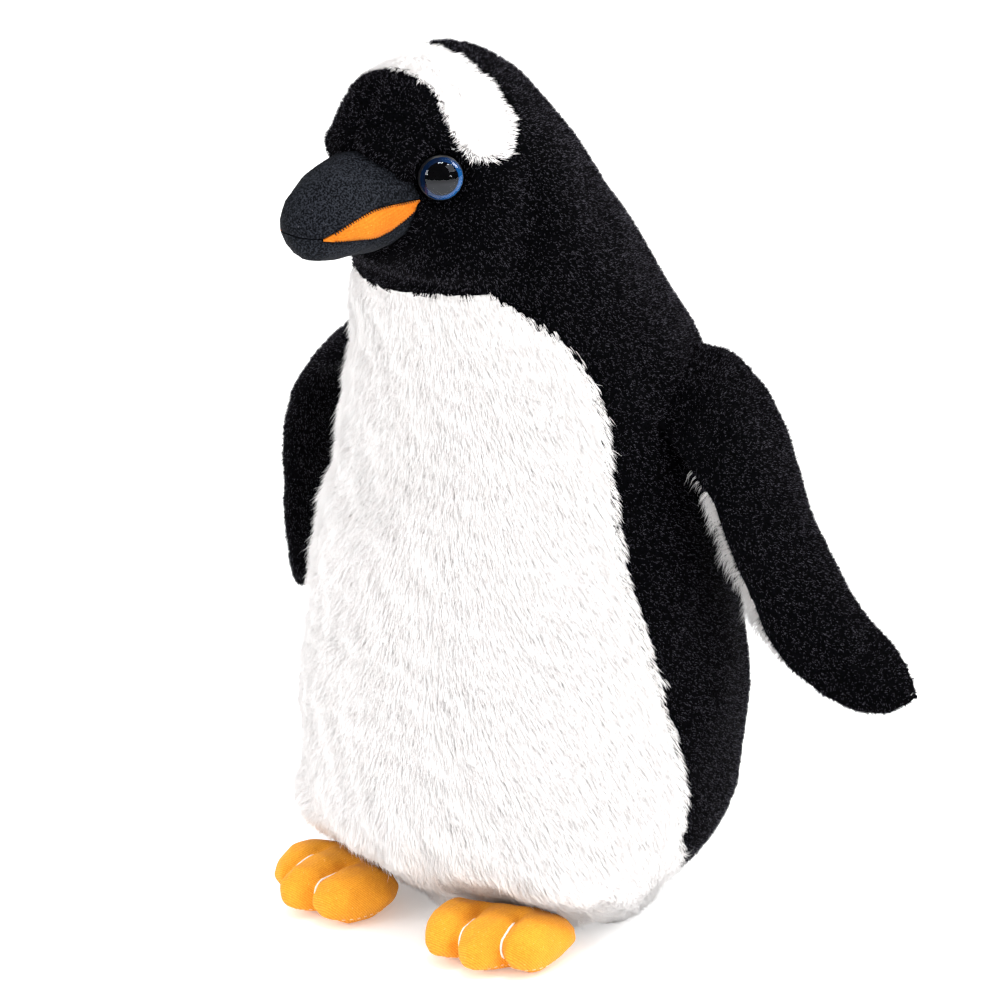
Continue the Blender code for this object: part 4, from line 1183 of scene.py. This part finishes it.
def foot(side):
    body = "foot_" + side
    names = [f"{body}_{part}" for part in ("upper", "sole", "stuffing")]
    threads = [f"{body}_thread_{part}" for part in ("inner", "outer")]
    lines = [thread_line(t) for t in threads]
    ob = foot_form(body, names, threads, lines)
    centres = polygon_centres(ob.data)
    upper = distance(centres, names[:1]) < distance(centres, names[1:2])
    hinge = Vector(JOINTS[body + "_fold"]["pos_m"])
    upper_skin = part_of(ob, upper, body + "_upper_skin", ORANGE_KNIT, FOOT_CLOTH)
    sole_skin = part_of(ob, ~upper, body + "_sole_skin", ORANGE_KNIT, FOOT_CLOTH)
    fill = filling(body + "_filling", ob, 1.4 * MM, names[2])
    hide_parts(names[0])
    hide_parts(names[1])
    tree = skin_tree(ob)
    sewn = [hem(tree, body, names[0], hinge)]
    for (start, way), node in zip(lines, threads):
        sunk = (side, node) == ("left", threads[0])
        sewn.append(toe_thread(tree, node, start, way, (-0.12 if sunk else 0.18) * MM))
    bend([upper_skin, sole_skin])
    bend([fill])
    bend(sewn)
    bpy.data.objects.remove(ob)


for side, _ in SIDES:
    foot(side)
bpy.data.objects.remove(BODY)


# ---------------------------------------------------------------- stage

# Lamps: azimuth and elevation in degrees, distance and width in m, and power in W.
LAMPS = {
    "key": (100, 42, 1.3, 0.7, 3),
    "fill": (-30, 25, 1.5, 0.5, 5),
    "rim": (150, 40, 1.5, 0.6, 14),
    "spot_1": (10, 76, 1.4, 0.13, 2.0),
    "spot_2": (41, 78, 1.4, 0.13, 2.0),
    "spot_3": (75, 74, 1.4, 0.13, 2.0),
    "spot_4": (100, 58, 1.4, 0.13, 2.2),
    "spot_5": (84, 14, 1.4, 0.14, 2.2),
    "spot_6": (-12, 20, 1.4, 0.11, 1.6),
}
AIM = Vector((0, 0, 0.145))
CAMERA_TURN, CAMERA_LIFT, CAMERA_DISTANCE = 41, 18.5, 2.0
WORLD_LIGHT, WORLD_MIRRORED = 1.28, 0.08    # strength of the white room, and as shiny things mirror it


def towards(azimuth, elevation):
    a, e = math.radians(azimuth), math.radians(elevation)
    return Vector((math.sin(a) * math.cos(e), -math.cos(a) * math.cos(e), math.sin(e)))


def aimed(name, data, azimuth, elevation, far):
    """A lamp or camera at a distance far from the middle of the toy, turned to it."""
    ob = bpy.data.objects.new(name, data)
    way = towards(azimuth, elevation)
    ob.location = AIM + way * far
    ob.rotation_euler = (-way).to_track_quat("-Z", "Y").to_euler()
    bpy.context.scene.collection.objects.link(ob)
    return ob


def pale_floor():
    mesh = bpy.data.meshes.new("floor")
    mesh.from_pydata([(-6, -6, 0), (6, -6, 0), (6, 6, 0), (-6, 6, 0)], [], [(0, 1, 2, 3)])
    mat, tree, shader = nodes_of("pale_floor")
    pale = ramp(tree, noise(tree, 6), ((0.3, (0.93, 0.93, 0.93)), (0.7, (0.95, 0.95, 0.95))))
    tree.links.new(pale, shader.inputs["Base Color"])
    shader.inputs["Roughness"].default_value = 0.9
    shader.inputs["Emission Color"].default_value = (1, 1, 1, 1)
    shader.inputs["Emission Strength"].default_value = 0.25
    mesh.materials.append(mat)
    new_object("floor", mesh)


def white_room():
    world = bpy.data.worlds.new("studio")
    world.use_nodes = True
    tree = world.node_tree
    tree.nodes["Background"].inputs["Color"].default_value = (1, 1, 1, 1)
    mirrored = add(tree, "ShaderNodeLightPath").outputs["Is Glossy Ray"]
    dim = maths(tree, "MULTIPLY", mirrored, WORLD_MIRRORED - WORLD_LIGHT)
    tree.links.new(maths(tree, "ADD", dim, WORLD_LIGHT), tree.nodes["Background"].inputs["Strength"])
    bpy.context.scene.world = world


def stage():
    pale_floor()
    white_room()
    for name, (azimuth, elevation, far, size, power) in LAMPS.items():
        light = bpy.data.lights.new(name, "AREA")
        light.size = size
        light.energy = power
        aimed(name, light, azimuth, elevation, far)
    camera = bpy.data.cameras.new("camera")
    camera.sensor_width = 36
    camera.lens = 223.2
    camera.shift_x, camera.shift_y = -0.0235, -0.0313
    bpy.context.scene.camera = aimed("camera", camera, CAMERA_TURN, CAMERA_LIFT, CAMERA_DISTANCE)
    bpy.context.scene.view_settings.view_transform = "Standard"


stage()
